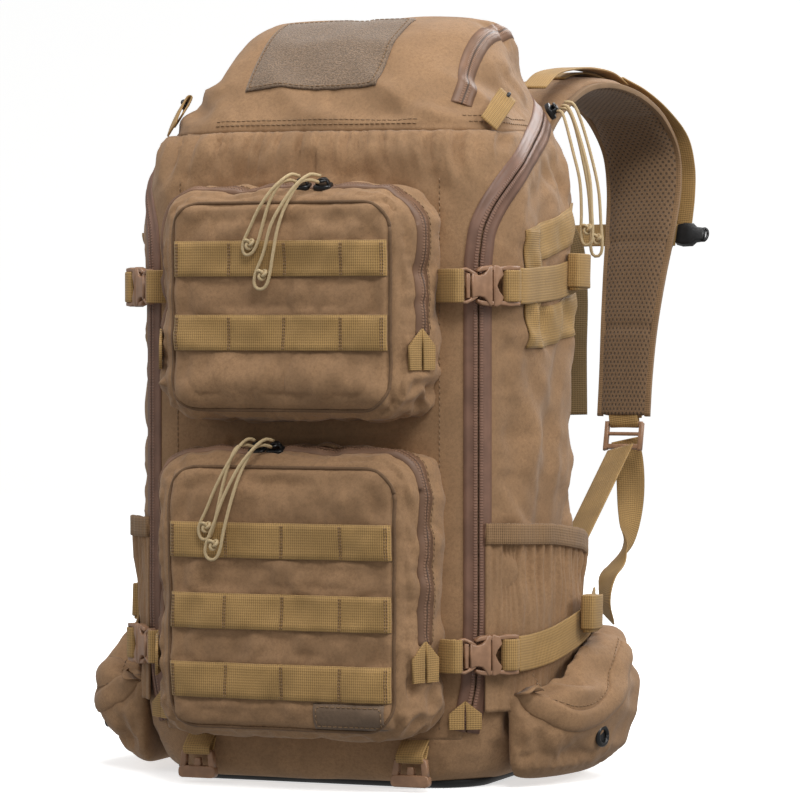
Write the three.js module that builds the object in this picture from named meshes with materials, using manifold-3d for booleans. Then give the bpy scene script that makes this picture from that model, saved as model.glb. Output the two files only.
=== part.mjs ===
// A hunting day pack of about 30 litres, standing on its base, in millimetres.
// +X is the right of someone who looks at the front, +Y points to the harness, +Z up.
// The origin is the middle of the base panel's underside.
import * as THREE from "three";
import { mergeVertices } from "three/addons/utils/BufferGeometryUtils.js";
import Module from "manifold-3d";

const wasm = await Module();
wasm.setup();

// ---- driving dimensions -------------------------------------------------

const GAP = 0.3; // clearance between touching pieces
const HALF = GAP / 2;
const WALL = 5; // padded fabric wall of the bag
const ARC_STEPS = 6; // segments in each rounded corner of the bag's outline
const FRONT_CORNER = 60; // corner radius of the outline at the front

// The bag's outline level by level: height, half width, front edge, back edge, back corner radius.
const LEVELS = [
  { z: 4, half: 124, front: -86, back: 86, corner: 50 },
  { z: 14, half: 134, front: -93, back: 95, corner: 60 },
  { z: 40, half: 141, front: -98, back: 101, corner: 68 },
  { z: 100, half: 148, front: -100, back: 105, corner: 70 },
  { z: 400, half: 148, front: -100, back: 106, corner: 68 },
  { z: 430, half: 146, front: -97, back: 106, corner: 58 },
  { z: 458, half: 138, front: -91, back: 106, corner: 45 },
  { z: 477, half: 126, front: -80, back: 105, corner: 42 },
  { z: 499, half: 111, front: -60, back: 103, corner: 40 },
  { z: 520, half: 104, front: -38, back: 100, corner: 36 },
  { z: 535, half: 99, front: -20, back: 97, corner: 32 },
  { z: 545, half: 93, front: 4, back: 92, corner: 28 },
  { z: 551, half: 84, front: 30, back: 84, corner: 24 },
];
const BAG_BOTTOM = 4;
const BAG_TOP = 551;

// The main zips' line seen from the side, as [y, z]: up the front, then back over the top.
const FLAP_BOTTOM = 38;
const ZIP_FRONT = -87;
const ZIP_LINE = [
  [ZIP_FRONT, FLAP_BOTTOM],
  [ZIP_FRONT, 392],
  [-79, 408],
  [-56, 423],
  [-10, 440],
  [36, 460],
  [105, 500],
];
const ZIP_WIDTH = 20;
const LID_SEAM = 470;

const POCKET_FRONT = -150; // the pockets' face
const UPPER_POCKET = { bottom: 264, top: 427, halfBase: 100, halfFace: 83 };
const LOWER_POCKET = { bottom: 40, top: 241, halfBase: 103, halfFace: 86 };
const ROW_HEIGHTS = { upper: [376, 324], lower: [178, 128, 79] };
const WEBBING = 25.4; // width of the flat webbing
const WEBBING_THICK = 1.8;

const BUCKLE = { height: 32, thick: 9, socket: 26, plug: 22, off: 3.4 };
const UPPER_BUCKLE_Z = 357;
const LOWER_BUCKLE_Z = 97;
const CORNER_ANGLE = -45 * THREE.MathUtils.DEG2RAD;

const SLIDER = { long: 9, wide: 8, tall: 6 };
const CORD = 2.4; // diameter of the pull cords
const CORD_SIDES = 8;
const CORD_STEPS = 30;

const STRAP_WIDTH = 60;
const STRAP_THICK = 13;
// The right shoulder strap's centre line, as [x, y, z].
const STRAP_LINE = [
  [80, 118, 474],
  [80, 148, 494],
  [82, 190, 510],
  [86, 230, 516],
  [90, 270, 515],
  [94, 310, 508],
  [98, 345, 494],
  [102, 369, 470],
  [105, 368, 440],
  [107, 352, 405],
  [108, 334, 370],
  [108, 320, 330],
  [108, 311, 290],
  [108, 305, 256],
];
const ADJUSTER_ANCHOR = [113, 112, 130];
const LADDER_LOCK = [109, 302, 240];

// The bottle pocket's and the folded wing's outlines on the right side, level by level.
const POCKET_RINGS = [
  { z: 56, front: -75, back: 84, reach: 160, brow: 143.5 },
  { z: 90, front: -75, back: 88, reach: 164, brow: 144.5 },
  { z: 190, front: -75, back: 88, reach: 165, brow: 145.5 },
];
const POCKET_WALL = 3;
// The space above the bottle pocket's rim, seen from the side as [y, z].
const BOTTLE_MOUTH = [[-100, 188], [-30, 185], [30, 178], [110, 160], [110, 260], [-100, 260]];
const WING_RINGS = [
  { z: 5, front: -70, back: 84, reach: 172, brow: 144 },
  { z: 16, front: -75, back: 94, reach: 185, brow: 152 },
  { z: 44, front: -76, back: 102, reach: 195, brow: 160 },
  { z: 70, front: -75, back: 106, reach: 196, brow: 160 },
  { z: 79, front: -50, back: 106, reach: 192, brow: 160 },
  { z: 98, front: -16, back: 106, reach: 188, brow: 160 },
  { z: 110, front: 24, back: 104, reach: 178, brow: 158 },
];

// Centre lines as [x, y, z]: the strap over the bottle pocket, the load lifter, the sternum strap,
// the haul loop and the stay.
const LOWER_STRAP_LINE = [
  [148.5, -66, 96],
  [154.5, -50, 97.5],
  [162, -33, 101],
  [167.3, -10, 107],
  [168.8, 12, 112],
  [167.3, 36, 118],
  [161.5, 62, 124],
];
const LIFTER_LINE = [
  [98, 112, 508],
  [99, 140, 520],
  [100, 180, 526],
  [100, 225, 529],
  [101, 270, 528],
  [102, 305, 521],
];
const STERNUM_LINE = [
  [-118, 363.5, 402],
  [-60, 363.5, 402],
  [0, 364, 400],
  [60, 363.5, 402],
  [134, 363.5, 402],
];
const HAUL_LINE = [
  [-40, 118, 492],
  [-38, 118, 512],
  [-24, 118, 528],
  [0, 118, 532],
  [24, 118, 528],
  [38, 118, 512],
  [40, 118, 492],
];
const STAY_LINE = [
  [-80, 88, 70],
  [-80, 88, 200],
  [-80, 88, 380],
  [-58, 88, 418],
  [0, 88, 428],
  [58, 88, 418],
  [80, 88, 380],
  [80, 88, 200],
  [80, 88, 70],
];

// The upper strap's yoke on the bag's side: four bands as [y, z] corners.
const YOKE_BANDS = [
  [[-52, 372], [70, 386], [70, 424], [-52, 396]],
  [[-52, 310], [70, 324], [70, 352], [-52, 342]],
  [[-52, 311], [-24, 314], [-24, 394], [-52, 395]],
  [[-30, 345], [60, 348], [60, 372], [-30, 369]],
];

// Where the sliders rest: on the pockets as [x, z], and on the main zips near the top of the back.
const POCKET_SLIDERS = {
  upper: { left: [10, 425], right: [26, 425] },
  lower: { left: [-24, 239], right: [-10, 239] },
};
const MAIN_SLIDER = { x: 121.5, y: 80, z: 488 };
const MAIN_TRAVEL = [17, -34, -21];

// Pull cords: each leaves its slider's eye, hangs to its knot and comes back up to the eye.
const CORD_ROUTES = {
  upper_cord_left: [
    [9, -138, 429.5],
    [6, -145, 431],
    [1, -151, 428],
    [-5, -155, 416],
    [-9, -156.5, 402],
    [-13, -157, 388],
    [-17.5, -157, 380],
    [-23, -157, 379],
    [-24.5, -157, 386],
    [-19, -157, 398],
    [-13, -157, 410],
    [-5, -155.5, 422],
    [2, -152, 430],
    [7, -145, 435],
    [10.5, -138, 434],
  ],
  upper_cord_right: [
    [25, -138, 429.5],
    [21, -145, 431],
    [15, -151, 428],
    [7, -156, 412],
    [2, -158, 396],
    [-1, -159, 378],
    [-4, -159, 362],
    [-8, -159, 355],
    [-14, -159, 356],
    [-14.5, -159, 364],
    [-8, -159, 380],
    [-3, -159, 398],
    [4, -157.5, 412],
    [13, -153.5, 426],
    [21, -146, 434.5],
    [26.5, -138, 434],
  ],
  lower_cord_left: [
    [-25, -138, 243.5],
    [-28, -145, 245],
    [-33, -151, 242],
    [-38, -155.5, 226],
    [-42, -157.5, 208],
    [-46, -158, 190],
    [-50, -158, 180],
    [-56, -158, 179],
    [-58, -158, 187],
    [-52, -158, 200],
    [-45, -157.5, 216],
    [-37, -155, 232],
    [-30, -151, 244],
    [-26, -145, 249],
    [-23.5, -138, 248],
  ],
  lower_cord_right: [
    [-11, -138, 243.5],
    [-14, -145, 245],
    [-19, -152, 242],
    [-26, -158, 226],
    [-32, -161, 206],
    [-37, -162, 186],
    [-40, -162, 172],
    [-44, -162, 165],
    [-50, -162, 166],
    [-51, -162, 174],
    [-44, -162, 192],
    [-37, -161.5, 210],
    [-27, -158.5, 230],
    [-17, -153, 244],
    [-12.5, -145, 249],
    [-9.5, -138, 248],
  ],
  main_cord_front: [
    [129, 77, 488],
    [133, 75, 487],
    [137, 73, 478],
    [143, 71, 458],
    [149, 69, 436],
    [151, 67, 414],
    [151, 66, 396],
    [153, 66, 389],
    [158, 66, 389],
    [160, 66, 396],
    [159, 67, 414],
    [157, 69, 436],
    [151, 72, 458],
    [143, 75, 480],
    [137, 77, 491],
    [132, 78, 492],
  ],
  main_cord_rear: [
    [129, 83, 490],
    [134, 84, 490],
    [139, 85, 480],
    [145, 86, 456],
    [150, 86, 430],
    [152, 86, 404],
    [152, 86, 388],
    [154, 86, 381],
    [159, 86, 381],
    [161, 86, 388],
    [160, 86, 404],
    [158, 86, 430],
    [152, 86, 456],
    [144, 86, 482],
    [138, 86, 494],
    [132, 84, 495],
  ],
};

// ---- geometry helpers ---------------------------------------------------

const vector = (x, y, z) => new THREE.Vector3(x, y, z);

// A closed geometry as a manifold-3d solid.
function toSolid(geometry) {
  const bare = geometry.clone();
  bare.deleteAttribute("normal");
  bare.deleteAttribute("uv");
  const merged = mergeVertices(bare, 1e-4);
  const mesh = new wasm.Mesh({
    numProp: 3,
    vertProperties: merged.attributes.position.array,
    triVerts: new Uint32Array(merged.index.array),
  });
  return new wasm.Manifold(mesh);
}

// A manifold-3d solid as a geometry.
function toGeometry(solid) {
  const mesh = solid.getMesh();
  const points = new Float32Array(mesh.numVert * 3);
  for (let i = 0; i < mesh.numVert; i++) {
    const from = i * mesh.numProp;
    points.set(mesh.vertProperties.subarray(from, from + 3), i * 3);
  }
  const geometry = new THREE.BufferGeometry();
  geometry.setAttribute("position", new THREE.BufferAttribute(points, 3));
  geometry.setIndex(new THREE.BufferAttribute(new Uint32Array(mesh.triVerts), 1));
  geometry.computeVertexNormals();
  return geometry;
}

// A closed skin through rings of points; each ring turns anticlockwise seen from the last one.
function loft(rings) {
  const size = rings[0].length;
  const points = rings.flat();
  const index = [];
  for (let r = 0; r + 1 < rings.length; r++) {
    for (let i = 0; i < size; i++) {
      const a = r * size + i;
      const b = r * size + ((i + 1) % size);
      index.push(a, b, b + size, a, b + size, a + size);
    }
  }
  const capAt = (ring, flip) => {
    const centre = ring.reduce((sum, p) => sum.add(p), vector(0, 0, 0));
    const middle = points.push(centre.divideScalar(size)) - 1;
    const first = flip ? 0 : (rings.length - 1) * size;
    for (let i = 0; i < size; i++) {
      const a = first + i;
      const b = first + ((i + 1) % size);
      index.push(middle, flip ? b : a, flip ? a : b);
    }
  };
  capAt(rings[0], true);
  capAt(rings.at(-1), false);
  const geometry = new THREE.BufferGeometry().setFromPoints(points);
  geometry.setIndex(index);
  geometry.computeVertexNormals();
  return geometry;
}

// A smooth curve through [x, y, z] points, sampled evenly.
function sampled(points, steps) {
  const curve = new THREE.CatmullRomCurve3(points.map((p) => vector(...p)));
  return curve.getSpacedPoints(steps);
}

// A flat strap along a line; side is the direction of its width, one vector or one for each point.
function strap(line, side, width, thick) {
  const rings = line.map((point, i) => {
    const before = line[Math.max(i - 1, 0)];
    const after = line[Math.min(i + 1, line.length - 1)];
    const along = after.clone().sub(before).normalize();
    const across = (Array.isArray(side) ? side[i] : side).clone();
    across.addScaledVector(along, -across.dot(along)).normalize();
    const up = along.clone().cross(across);
    const corner = (s, t) =>
      point
        .clone()
        .addScaledVector(across, (s * width) / 2)
        .addScaledVector(up, (t * thick) / 2);
    return [corner(-1, -1), corner(1, -1), corner(1, 1), corner(-1, 1)];
  });
  return loft(rings);
}

// A padded strap with rounded long edges.
function paddedStrap(line, side, width, thick) {
  const outline = [];
  const bulge = thick / 2;
  for (let k = 0; k <= 3; k++) {
    const a = -Math.PI / 2 + (Math.PI * k) / 3;
    outline.push([width / 2 - bulge + bulge * Math.cos(a), bulge * Math.sin(a)]);
  }
  for (let k = 0; k <= 3; k++) {
    const a = Math.PI / 2 + (Math.PI * k) / 3;
    outline.push([-width / 2 + bulge + bulge * Math.cos(a), bulge * Math.sin(a)]);
  }
  const rings = line.map((point, i) => {
    const before = line[Math.max(i - 1, 0)];
    const after = line[Math.min(i + 1, line.length - 1)];
    const along = after.clone().sub(before).normalize();
    const across = side.clone().addScaledVector(along, -side.dot(along)).normalize();
    const up = along.clone().cross(across);
    return outline.map(([s, t]) =>
      point.clone().addScaledVector(across, s).addScaledVector(up, t),
    );
  });
  return loft(rings);
}

// A prism whose outline is given as [y, z] points, between two x values.
function sidePrism(outline, fromX, toX) {
  const shape = new THREE.Shape(outline.map(([y, z]) => new THREE.Vector2(y, z)));
  const geometry = new THREE.ExtrudeGeometry(shape, {
    depth: toX - fromX,
    bevelEnabled: false,
  });
  // Shape x, y and depth become the row's y, z and x.
  geometry.applyMatrix4(
    new THREE.Matrix4().set(0, 0, 1, fromX, 1, 0, 0, 0, 0, 1, 0, 0, 0, 0, 0, 1),
  );
  return toSolid(geometry);
}

// A box between two corners.
function box(low, high) {
  const size = high.map((h, i) => h - low[i]);
  const geometry = new THREE.BoxGeometry(...size);
  geometry.translate(...low.map((l, i) => l + size[i] / 2));
  return geometry;
}

// A rounded rectangle in the plane, as [u, v] points turning anticlockwise.
function roundedOutline(left, right, low, high, radius, steps) {
  const corners = [
    [right, high, 0],
    [left, high, 1],
    [left, low, 2],
    [right, low, 3],
  ];
  return corners.flatMap(([u, v, quarter]) => {
    const centreU = u + (u === right ? -radius : radius);
    const centreV = v + (v === high ? -radius : radius);
    return Array.from({ length: steps + 1 }, (_, k) => {
      const a = (quarter + k / steps) * (Math.PI / 2);
      return [centreU + radius * Math.cos(a), centreV + radius * Math.sin(a)];
    });
  });
}

// A slab with rounded corners whose thickness runs along y.
function roundedSlab({ left, right, low, high, radius, from, to }) {
  const outline = roundedOutline(left, right, low, high, radius, 4);
  const ringAt = (y) => outline.map(([x, z]) => vector(x, y, z)).reverse();
  return loft([ringAt(from), ringAt(to)]);
}

// ---- the bag's outer form -----------------------------------------------

// The outline of the bag at one level, grown outwards by an offset.
function bagOutline({ z, half, front, back, corner }, grow, lift) {
  const halfWidth = half + grow;
  const low = front - grow;
  const high = back + grow;
  const room = (high - low) / 2 - 1;
  const frontRadius = Math.min(FRONT_CORNER + grow, room);
  const backRadius = Math.min(corner + grow, room);
  const corners = [
    [1, 1, 0, backRadius],
    [-1, 1, 1, backRadius],
    [-1, -1, 2, frontRadius],
    [1, -1, 3, frontRadius],
  ];
  return corners.flatMap(([sx, sy, quarter, radius]) => {
    const x = sx * (halfWidth - radius);
    const y = sy > 0 ? high - radius : low + radius;
    return Array.from({ length: ARC_STEPS + 1 }, (_, k) => {
      const a = (quarter + k / ARC_STEPS) * (Math.PI / 2);
      return vector(x + radius * Math.cos(a), y + radius * Math.sin(a), z + lift);
    });
  });
}

// The solid inside the bag's outer form, grown by an offset; a negative one shrinks it.
function bagForm(grow) {
  const middle = (BAG_TOP + BAG_BOTTOM) / 2;
  const scale = (BAG_TOP - BAG_BOTTOM + 2 * grow) / (BAG_TOP - BAG_BOTTOM);
  return toSolid(
    loft(
      LEVELS.map((level) => {
        const lift = (level.z - middle) * (scale - 1);
        return bagOutline(level, grow, lift);
      }),
    ),
  );
}

// The region in front of the main zips, moved back from the zip line by an offset.
function flapRegion(offset) {
  const line = ZIP_LINE.map(([y, z], i) => {
    const [y0, z0] = ZIP_LINE[Math.max(i - 1, 0)];
    const [y1, z1] = ZIP_LINE[Math.min(i + 1, ZIP_LINE.length - 1)];
    const length = Math.hypot(y1 - y0, z1 - z0);
    return [y - ((z1 - z0) / length) * offset, z + ((y1 - y0) / length) * offset];
  });
  line[0][1] = FLAP_BOTTOM + offset;
  const outline = [[-300, FLAP_BOTTOM + offset], ...line];
  const [, lastZ] = line.at(-1);
  outline.push([300, lastZ + 110], [300, 700], [-300, 700]);
  return sidePrism(outline, -300, 300);
}

// A thin layer over the bag between two offsets, kept inside a region.
function layer(inner, outer, region) {
  return bagForm(outer).subtract(bagForm(inner)).intersect(region);
}

// Where a vertical line of the bag's corner meets its surface, with the outward direction.
function cornerPlace(side, z, off) {
  const upper = LEVELS.findIndex((level) => level.z >= z);
  const [a, b] = [LEVELS[upper - 1], LEVELS[upper]];
  const t = (z - a.z) / (b.z - a.z);
  const half = THREE.MathUtils.lerp(a.half, b.half, t);
  const front = THREE.MathUtils.lerp(a.front, b.front, t);
  const reach = FRONT_CORNER + off;
  return {
    x: side * (half - FRONT_CORNER + reach * Math.cos(CORNER_ANGLE)),
    y: front + FRONT_CORNER + reach * Math.sin(CORNER_ANGLE),
  };
}

// ---- assembly -----------------------------------------------------------

const FINISHES = {
  cordura: { color: 0x96785a, roughness: 0.9, metalness: 0 },
  coated: { color: 0x1d1c1a, roughness: 0.6, metalness: 0 },
  webbing: { color: 0xb2925c, roughness: 0.85, metalness: 0 },
  zipper: { color: 0x826254, roughness: 0.45, metalness: 0 },
  buckle: { color: 0xa57d62, roughness: 0.4, metalness: 0 },
  slider: { color: 0x141414, roughness: 0.35, metalness: 0.2 },
  cord: { color: 0xcdb68c, roughness: 0.8, metalness: 0 },
  mesh: { color: 0x735a44, roughness: 0.95, metalness: 0 },
  patch: { color: 0x8a755d, roughness: 1, metalness: 0 },
  sheet: { color: 0x202020, roughness: 0.5, metalness: 0 },
  aluminium: { color: 0xb9bcc0, roughness: 0.35, metalness: 1 },
};

const group = new THREE.Group();

function add(name, geometry, finish) {
  const mesh = new THREE.Mesh(geometry, new THREE.MeshStandardMaterial(FINISHES[finish]));
  mesh.name = name;
  group.add(mesh);
}

const SIDES = [
  { name: "left", sign: -1 },
  { name: "right", sign: 1 },
];

// A geometry made for the right side, turned over to the other one where needed.
function onSide(geometry, sign) {
  return sign > 0 ? geometry : toGeometry(toSolid(geometry).mirror([1, 0, 0]));
}

// Bag, flap and lid: one padded skin, split along the main zips and the lid's seam.
function addBag() {
  const skin = bagForm(0).subtract(bagForm(-WALL));
  const flap = skin.intersect(flapRegion(HALF));
  const lidSpace = toSolid(box([-300, -300, LID_SEAM + HALF], [300, 300, 700]));
  const frontSpace = toSolid(box([-300, -300, -10], [300, 300, LID_SEAM - HALF]));
  add("main_bag", toGeometry(skin.subtract(flapRegion(-HALF))), "cordura");
  add("front_panel", toGeometry(flap.intersect(frontSpace)), "cordura");
  add("lid", toGeometry(flap.intersect(lidSpace)), "cordura");
}

// The coated base that the pack stands on.
function addBase() {
  const outline = roundedOutline(-124, 124, -86, 86, 45, 6);
  const ringAt = (z) => outline.map(([x, y]) => vector(x, y, z));
  add("base_panel", loft([ringAt(0), ringAt(BAG_BOTTOM - GAP)]), "coated");
}

// The stiff sheet and the bent rod that carry the load, inside the back wall.
function addFrame() {
  const sheet = { left: -98, right: 98, low: 70, high: 440, radius: 25, from: 92.4, to: 94.4 };
  add("frame_sheet", roundedSlab(sheet), "sheet");
  const radius = 3;
  const section = new THREE.Shape();
  section.absarc(0, 0, radius, 0, Math.PI * 2);
  const rod = new THREE.CatmullRomCurve3(STAY_LINE.map((p) => vector(...p)));
  const options = { extrudePath: rod, steps: 40, bevelEnabled: false, curveSegments: 4 };
  add("frame_stay", new THREE.ExtrudeGeometry(section, options), "aluminium");
}

// The pads and the yoke that lie against the wearer's back.
function addBack() {
  const back = 106.5;
  const slab = { left: -105, right: 105, low: 135, high: 405, radius: 30, from: back, to: back + 13 };
  const channel = box([-16, back - 1, 100], [16, back + 20, 350]);
  const pad = toSolid(roundedSlab(slab)).subtract(toSolid(channel));
  add("back_pad", toGeometry(pad), "mesh");
  const lumbar = { left: -108, right: 108, low: 42, high: 128, radius: 25, from: back, to: back + 17 };
  add("lumbar_pad", roundedSlab(lumbar), "mesh");
  const yoke = { left: -92, right: 92, low: 412, high: 484, radius: 12, from: back, to: back + 4 };
  add("harness_yoke", roundedSlab(yoke), "cordura");
  const arch = sampled(HAUL_LINE, 14);
  add("haul_loop", strap(arch, vector(0, 1, 0), 20, 2.4), "webbing");
}

// A pocket: a box with leaning sides and rounded corners, shut by zips along its top.
function pocketForm({ bottom, top, halfBase, halfFace }) {
  const lean = halfBase - halfFace;
  const rings = [
    { y: -80, shrink: 0, radius: 26 },
    { y: -112, shrink: 0, radius: 26 },
    { y: -138, shrink: lean * 0.45, radius: 24 },
    { y: POCKET_FRONT + 3, shrink: lean * 0.8, radius: 22 },
    { y: POCKET_FRONT, shrink: lean, radius: 20 },
  ];
  return toSolid(
    loft(
      rings.map(({ y, shrink, radius }) => {
        const low = bottom + shrink * 0.8;
        const high = top - shrink * 0.7;
        const half = halfBase - shrink;
        return roundedOutline(-half, half, low, high, radius, 5).map(([x, z]) => vector(x, y, z));
      }),
    ),
  );
}

function addPockets() {
  const form = bagForm(GAP);
  add("upper_pocket", toGeometry(pocketForm(UPPER_POCKET).subtract(form)), "cordura");
  add("lower_pocket", toGeometry(pocketForm(LOWER_POCKET).subtract(form)), "cordura");
}

// The rows of flat webbing across each pocket's face.
function addRows() {
  for (const [pocket, heights] of Object.entries(ROW_HEIGHTS)) {
    const half = pocket === "upper" ? UPPER_POCKET.halfFace : LOWER_POCKET.halfFace;
    heights.forEach((z, i) => {
      const face = POCKET_FRONT - GAP;
      const low = [2 - half, face - WEBBING_THICK, z - WEBBING / 2];
      const high = [half - 2, face, z + WEBBING / 2];
      add(`${pocket}_row_${i + 1}`, box(low, high), "webbing");
    });
  }
}

// The loop patch on the lid's sloping front.
function addPatch() {
  const halfSpace = toSolid(box([-62, -62, 498], [40, 22, 560]));
  add("lid_patch", toGeometry(layer(GAP, GAP + 1.6, halfSpace)), "patch");
}

// A band as wide as the zip on both sides of its line, seen from the side.
function zipBand() {
  const half = ZIP_WIDTH / 2;
  const line = ZIP_LINE.map(([y, z]) => new THREE.Vector2(y, z));
  line[0].y += 10;
  const edge = (offset) =>
    line.map((point, i) => {
      const before = line[Math.max(i - 1, 0)];
      const after = line[Math.min(i + 1, line.length - 1)];
      const along = after.clone().sub(before).normalize();
      return [point.x - along.y * offset, point.y + along.x * offset];
    });
  return [...edge(0.5), ...edge(-half).reverse()];
}

function addZips() {
  for (const { name, sign } of SIDES) {
    const region = sidePrism(zipBand(), sign > 0 ? 20 : -300, sign > 0 ? 300 : -20);
    add(`main_zip_${name}`, toGeometry(layer(GAP, 1.8, region)), "zipper");
  }
}

// One half of a side-release buckle, between two places along the strap, at the bag's corner.
function buckleHalf(side, z, from, to, height) {
  const geometry = loft(
    [
      [from, 0.86],
      [from + (to - from) * 0.2, 1],
      [from + (to - from) * 0.8, 1],
      [to, 0.86],
    ].map(([x, scale]) => {
      const halfThick = (BUCKLE.thick / 2) * scale;
      const reach = (height / 2) * scale;
      const outline = roundedOutline(-halfThick, halfThick, -reach, reach, 3, 2);
      return outline.map(([y, h]) => vector(x, y, h));
    }),
  );
  const place = cornerPlace(side, z, BUCKLE.off + BUCKLE.thick / 2);
  geometry.rotateZ(CORNER_ANGLE + Math.PI / 2);
  if (side < 0) geometry.applyMatrix4(new THREE.Matrix4().makeScale(-1, 1, 1));
  geometry.translate(place.x, place.y, z);
  if (side < 0) {
    const index = geometry.index.array;
    for (let i = 0; i < index.length; i += 3) {
      [index[i + 1], index[i + 2]] = [index[i + 2], index[i + 1]];
    }
  }
  return geometry;
}

function addCompressionBuckles() {
  const levels = { upper: UPPER_BUCKLE_Z, lower: LOWER_BUCKLE_Z };
  for (const [level, z] of Object.entries(levels)) {
    for (const { name, sign } of SIDES) {
      const socket = buckleHalf(sign, z, -BUCKLE.socket, -HALF, BUCKLE.height);
      const plug = buckleHalf(sign, z, HALF, BUCKLE.plug, BUCKLE.height - 2);
      add(`${level}_socket_${name}`, socket, "buckle");
      add(`${level}_plug_${name}`, plug, "buckle");
    }
  }
}

// The webbing on the sides: the yoke of the upper strap, and the strap over the bottle pocket.
function addSideStraps() {
  for (const { name, sign } of SIDES) {
    const range = sign > 0 ? [20, 300] : [-300, -20];
    const region = YOKE_BANDS
      .map((band) => sidePrism(band, ...range))
      .reduce((sum, part) => sum.add(part));
    add(`side_yoke_${name}`, toGeometry(layer(2.1, 3.9, region)), "webbing");
    const line = sampled(LOWER_STRAP_LINE, 16);
    const webbing = strap(line, vector(0, 0, 1), WEBBING, WEBBING_THICK);
    add(`lower_strap_${name}`, onSide(webbing, sign), "webbing");
  }
}

// The outline of a piece on the right side that starts near the main zip and ends at the back.
function sideOutline({ front, back, reach, brow }) {
  const outer = sampled(
    [
      [128, front, 0],
      [brow, front + 13, 0],
      [(reach + brow) / 2 + 4, front + 38, 0],
      [reach, (front + back) / 2 + 8, 0],
      [reach - 8, back - 28, 0],
      [136, back, 0],
    ],
    14,
  );
  return [vector(100, back, 0), vector(100, front, 0), ...outer];
}

function sideForm(rings) {
  return toSolid(
    loft(rings.map((ring) => sideOutline(ring).map((point) => vector(point.x, point.y, ring.z)))),
  );
}

// The rings of a form moved in by a wall, and the whole of it moved up.
const shrunk = (rings, wall, lift) =>
  rings.map(({ z, front, back, reach, brow }) => ({
    z: z + lift,
    front: front + wall,
    back: back - wall,
    reach: reach - wall,
    brow: brow - wall,
  }));

// The open-topped bottle pockets.
function addBottlePockets() {
  const walls = sideForm(POCKET_RINGS)
    .subtract(sideForm(shrunk(POCKET_RINGS, POCKET_WALL, POCKET_WALL)))
    .subtract(sidePrism(BOTTLE_MOUTH, 90, 200))
    .subtract(bagForm(GAP));
  for (const { name, sign } of SIDES) {
    add(`bottle_pocket_${name}`, onSide(toGeometry(walls), sign), "cordura");
  }
}

// The folded hip-belt wings around the foot of the bag, hollowed for the pockets and the straps.
function addWings() {
  const strapSpace = LOWER_STRAP_LINE.map(([, y, z]) => [y, z - WEBBING / 2 - 1]);
  strapSpace.push([80, 112], [80, 200], [-120, 200], [-120, 79], [-66, 79]);
  const wing = sideForm(WING_RINGS)
    .subtract(sideForm(shrunk(POCKET_RINGS, -GAP, 0)).add(toSolid(box([90, -100, -5], [140, 120, 57]))))
    .subtract(sidePrism(strapSpace.reverse(), 90, 300))
    .subtract(bagForm(GAP));
  for (const { name, sign } of SIDES) {
    add(`wing_${name}`, onSide(toGeometry(wing), sign), "cordura");
  }
}

// A buckle at the foot of the front, on a short strap from the base seam.
function addBaseBuckles() {
  for (const { name, sign } of SIDES) {
    const slab = { left: -15, right: 15, low: 3, high: 27, radius: 4, from: -9, to: 0 };
    const geometry = roundedSlab(slab);
    geometry.translate(sign * 82, -101, 0);
    add(`base_buckle_${name}`, geometry, "buckle");
  }
}

// A zip slider with its eye, lying along x.
function sliderForm() {
  const { long, wide, tall } = SLIDER;
  const body = toSolid(box([-long / 2, -wide / 2, 0], [long / 2, wide / 2, tall * 0.6]));
  const eye = toSolid(box([-2, -wide / 2, tall * 0.5], [2, wide / 2, tall]));
  return toGeometry(body.add(eye));
}

function addPocketSliders() {
  for (const [pocket, sides] of Object.entries(POCKET_SLIDERS)) {
    for (const [name, [x, z]] of Object.entries(sides)) {
      const geometry = sliderForm();
      geometry.translate(x, -132, z);
      add(`${pocket}_slider_${name}`, geometry, "slider");
    }
  }
}

function addMainSliders() {
  for (const { name, sign } of SIDES) {
    const geometry = sliderForm();
    geometry.rotateY(Math.PI / 2);
    const along = vector(...MAIN_TRAVEL).normalize();
    const out = vector(0.86, 0.1, 0.5);
    out.addScaledVector(along, -out.dot(along)).normalize();
    const across = along.clone().cross(out);
    const turn = new THREE.Matrix4().makeBasis(out, across, along);
    turn.setPosition(MAIN_SLIDER.x, MAIN_SLIDER.y, MAIN_SLIDER.z);
    geometry.applyMatrix4(turn);
    add(`main_slider_${name}`, onSide(geometry, sign), "slider");
  }
}

function addCords() {
  for (const [name, points] of Object.entries(CORD_ROUTES)) {
    const path = new THREE.CatmullRomCurve3(points.map((p) => vector(...p)));
    const section = new THREE.Shape();
    section.absarc(0, 0, CORD / 2, 0, Math.PI * 2);
    const options = {
      extrudePath: path,
      steps: CORD_STEPS,
      bevelEnabled: false,
      curveSegments: CORD_SIDES / 2,
    };
    add(name, new THREE.ExtrudeGeometry(section, options), "cord");
  }
}

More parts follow.
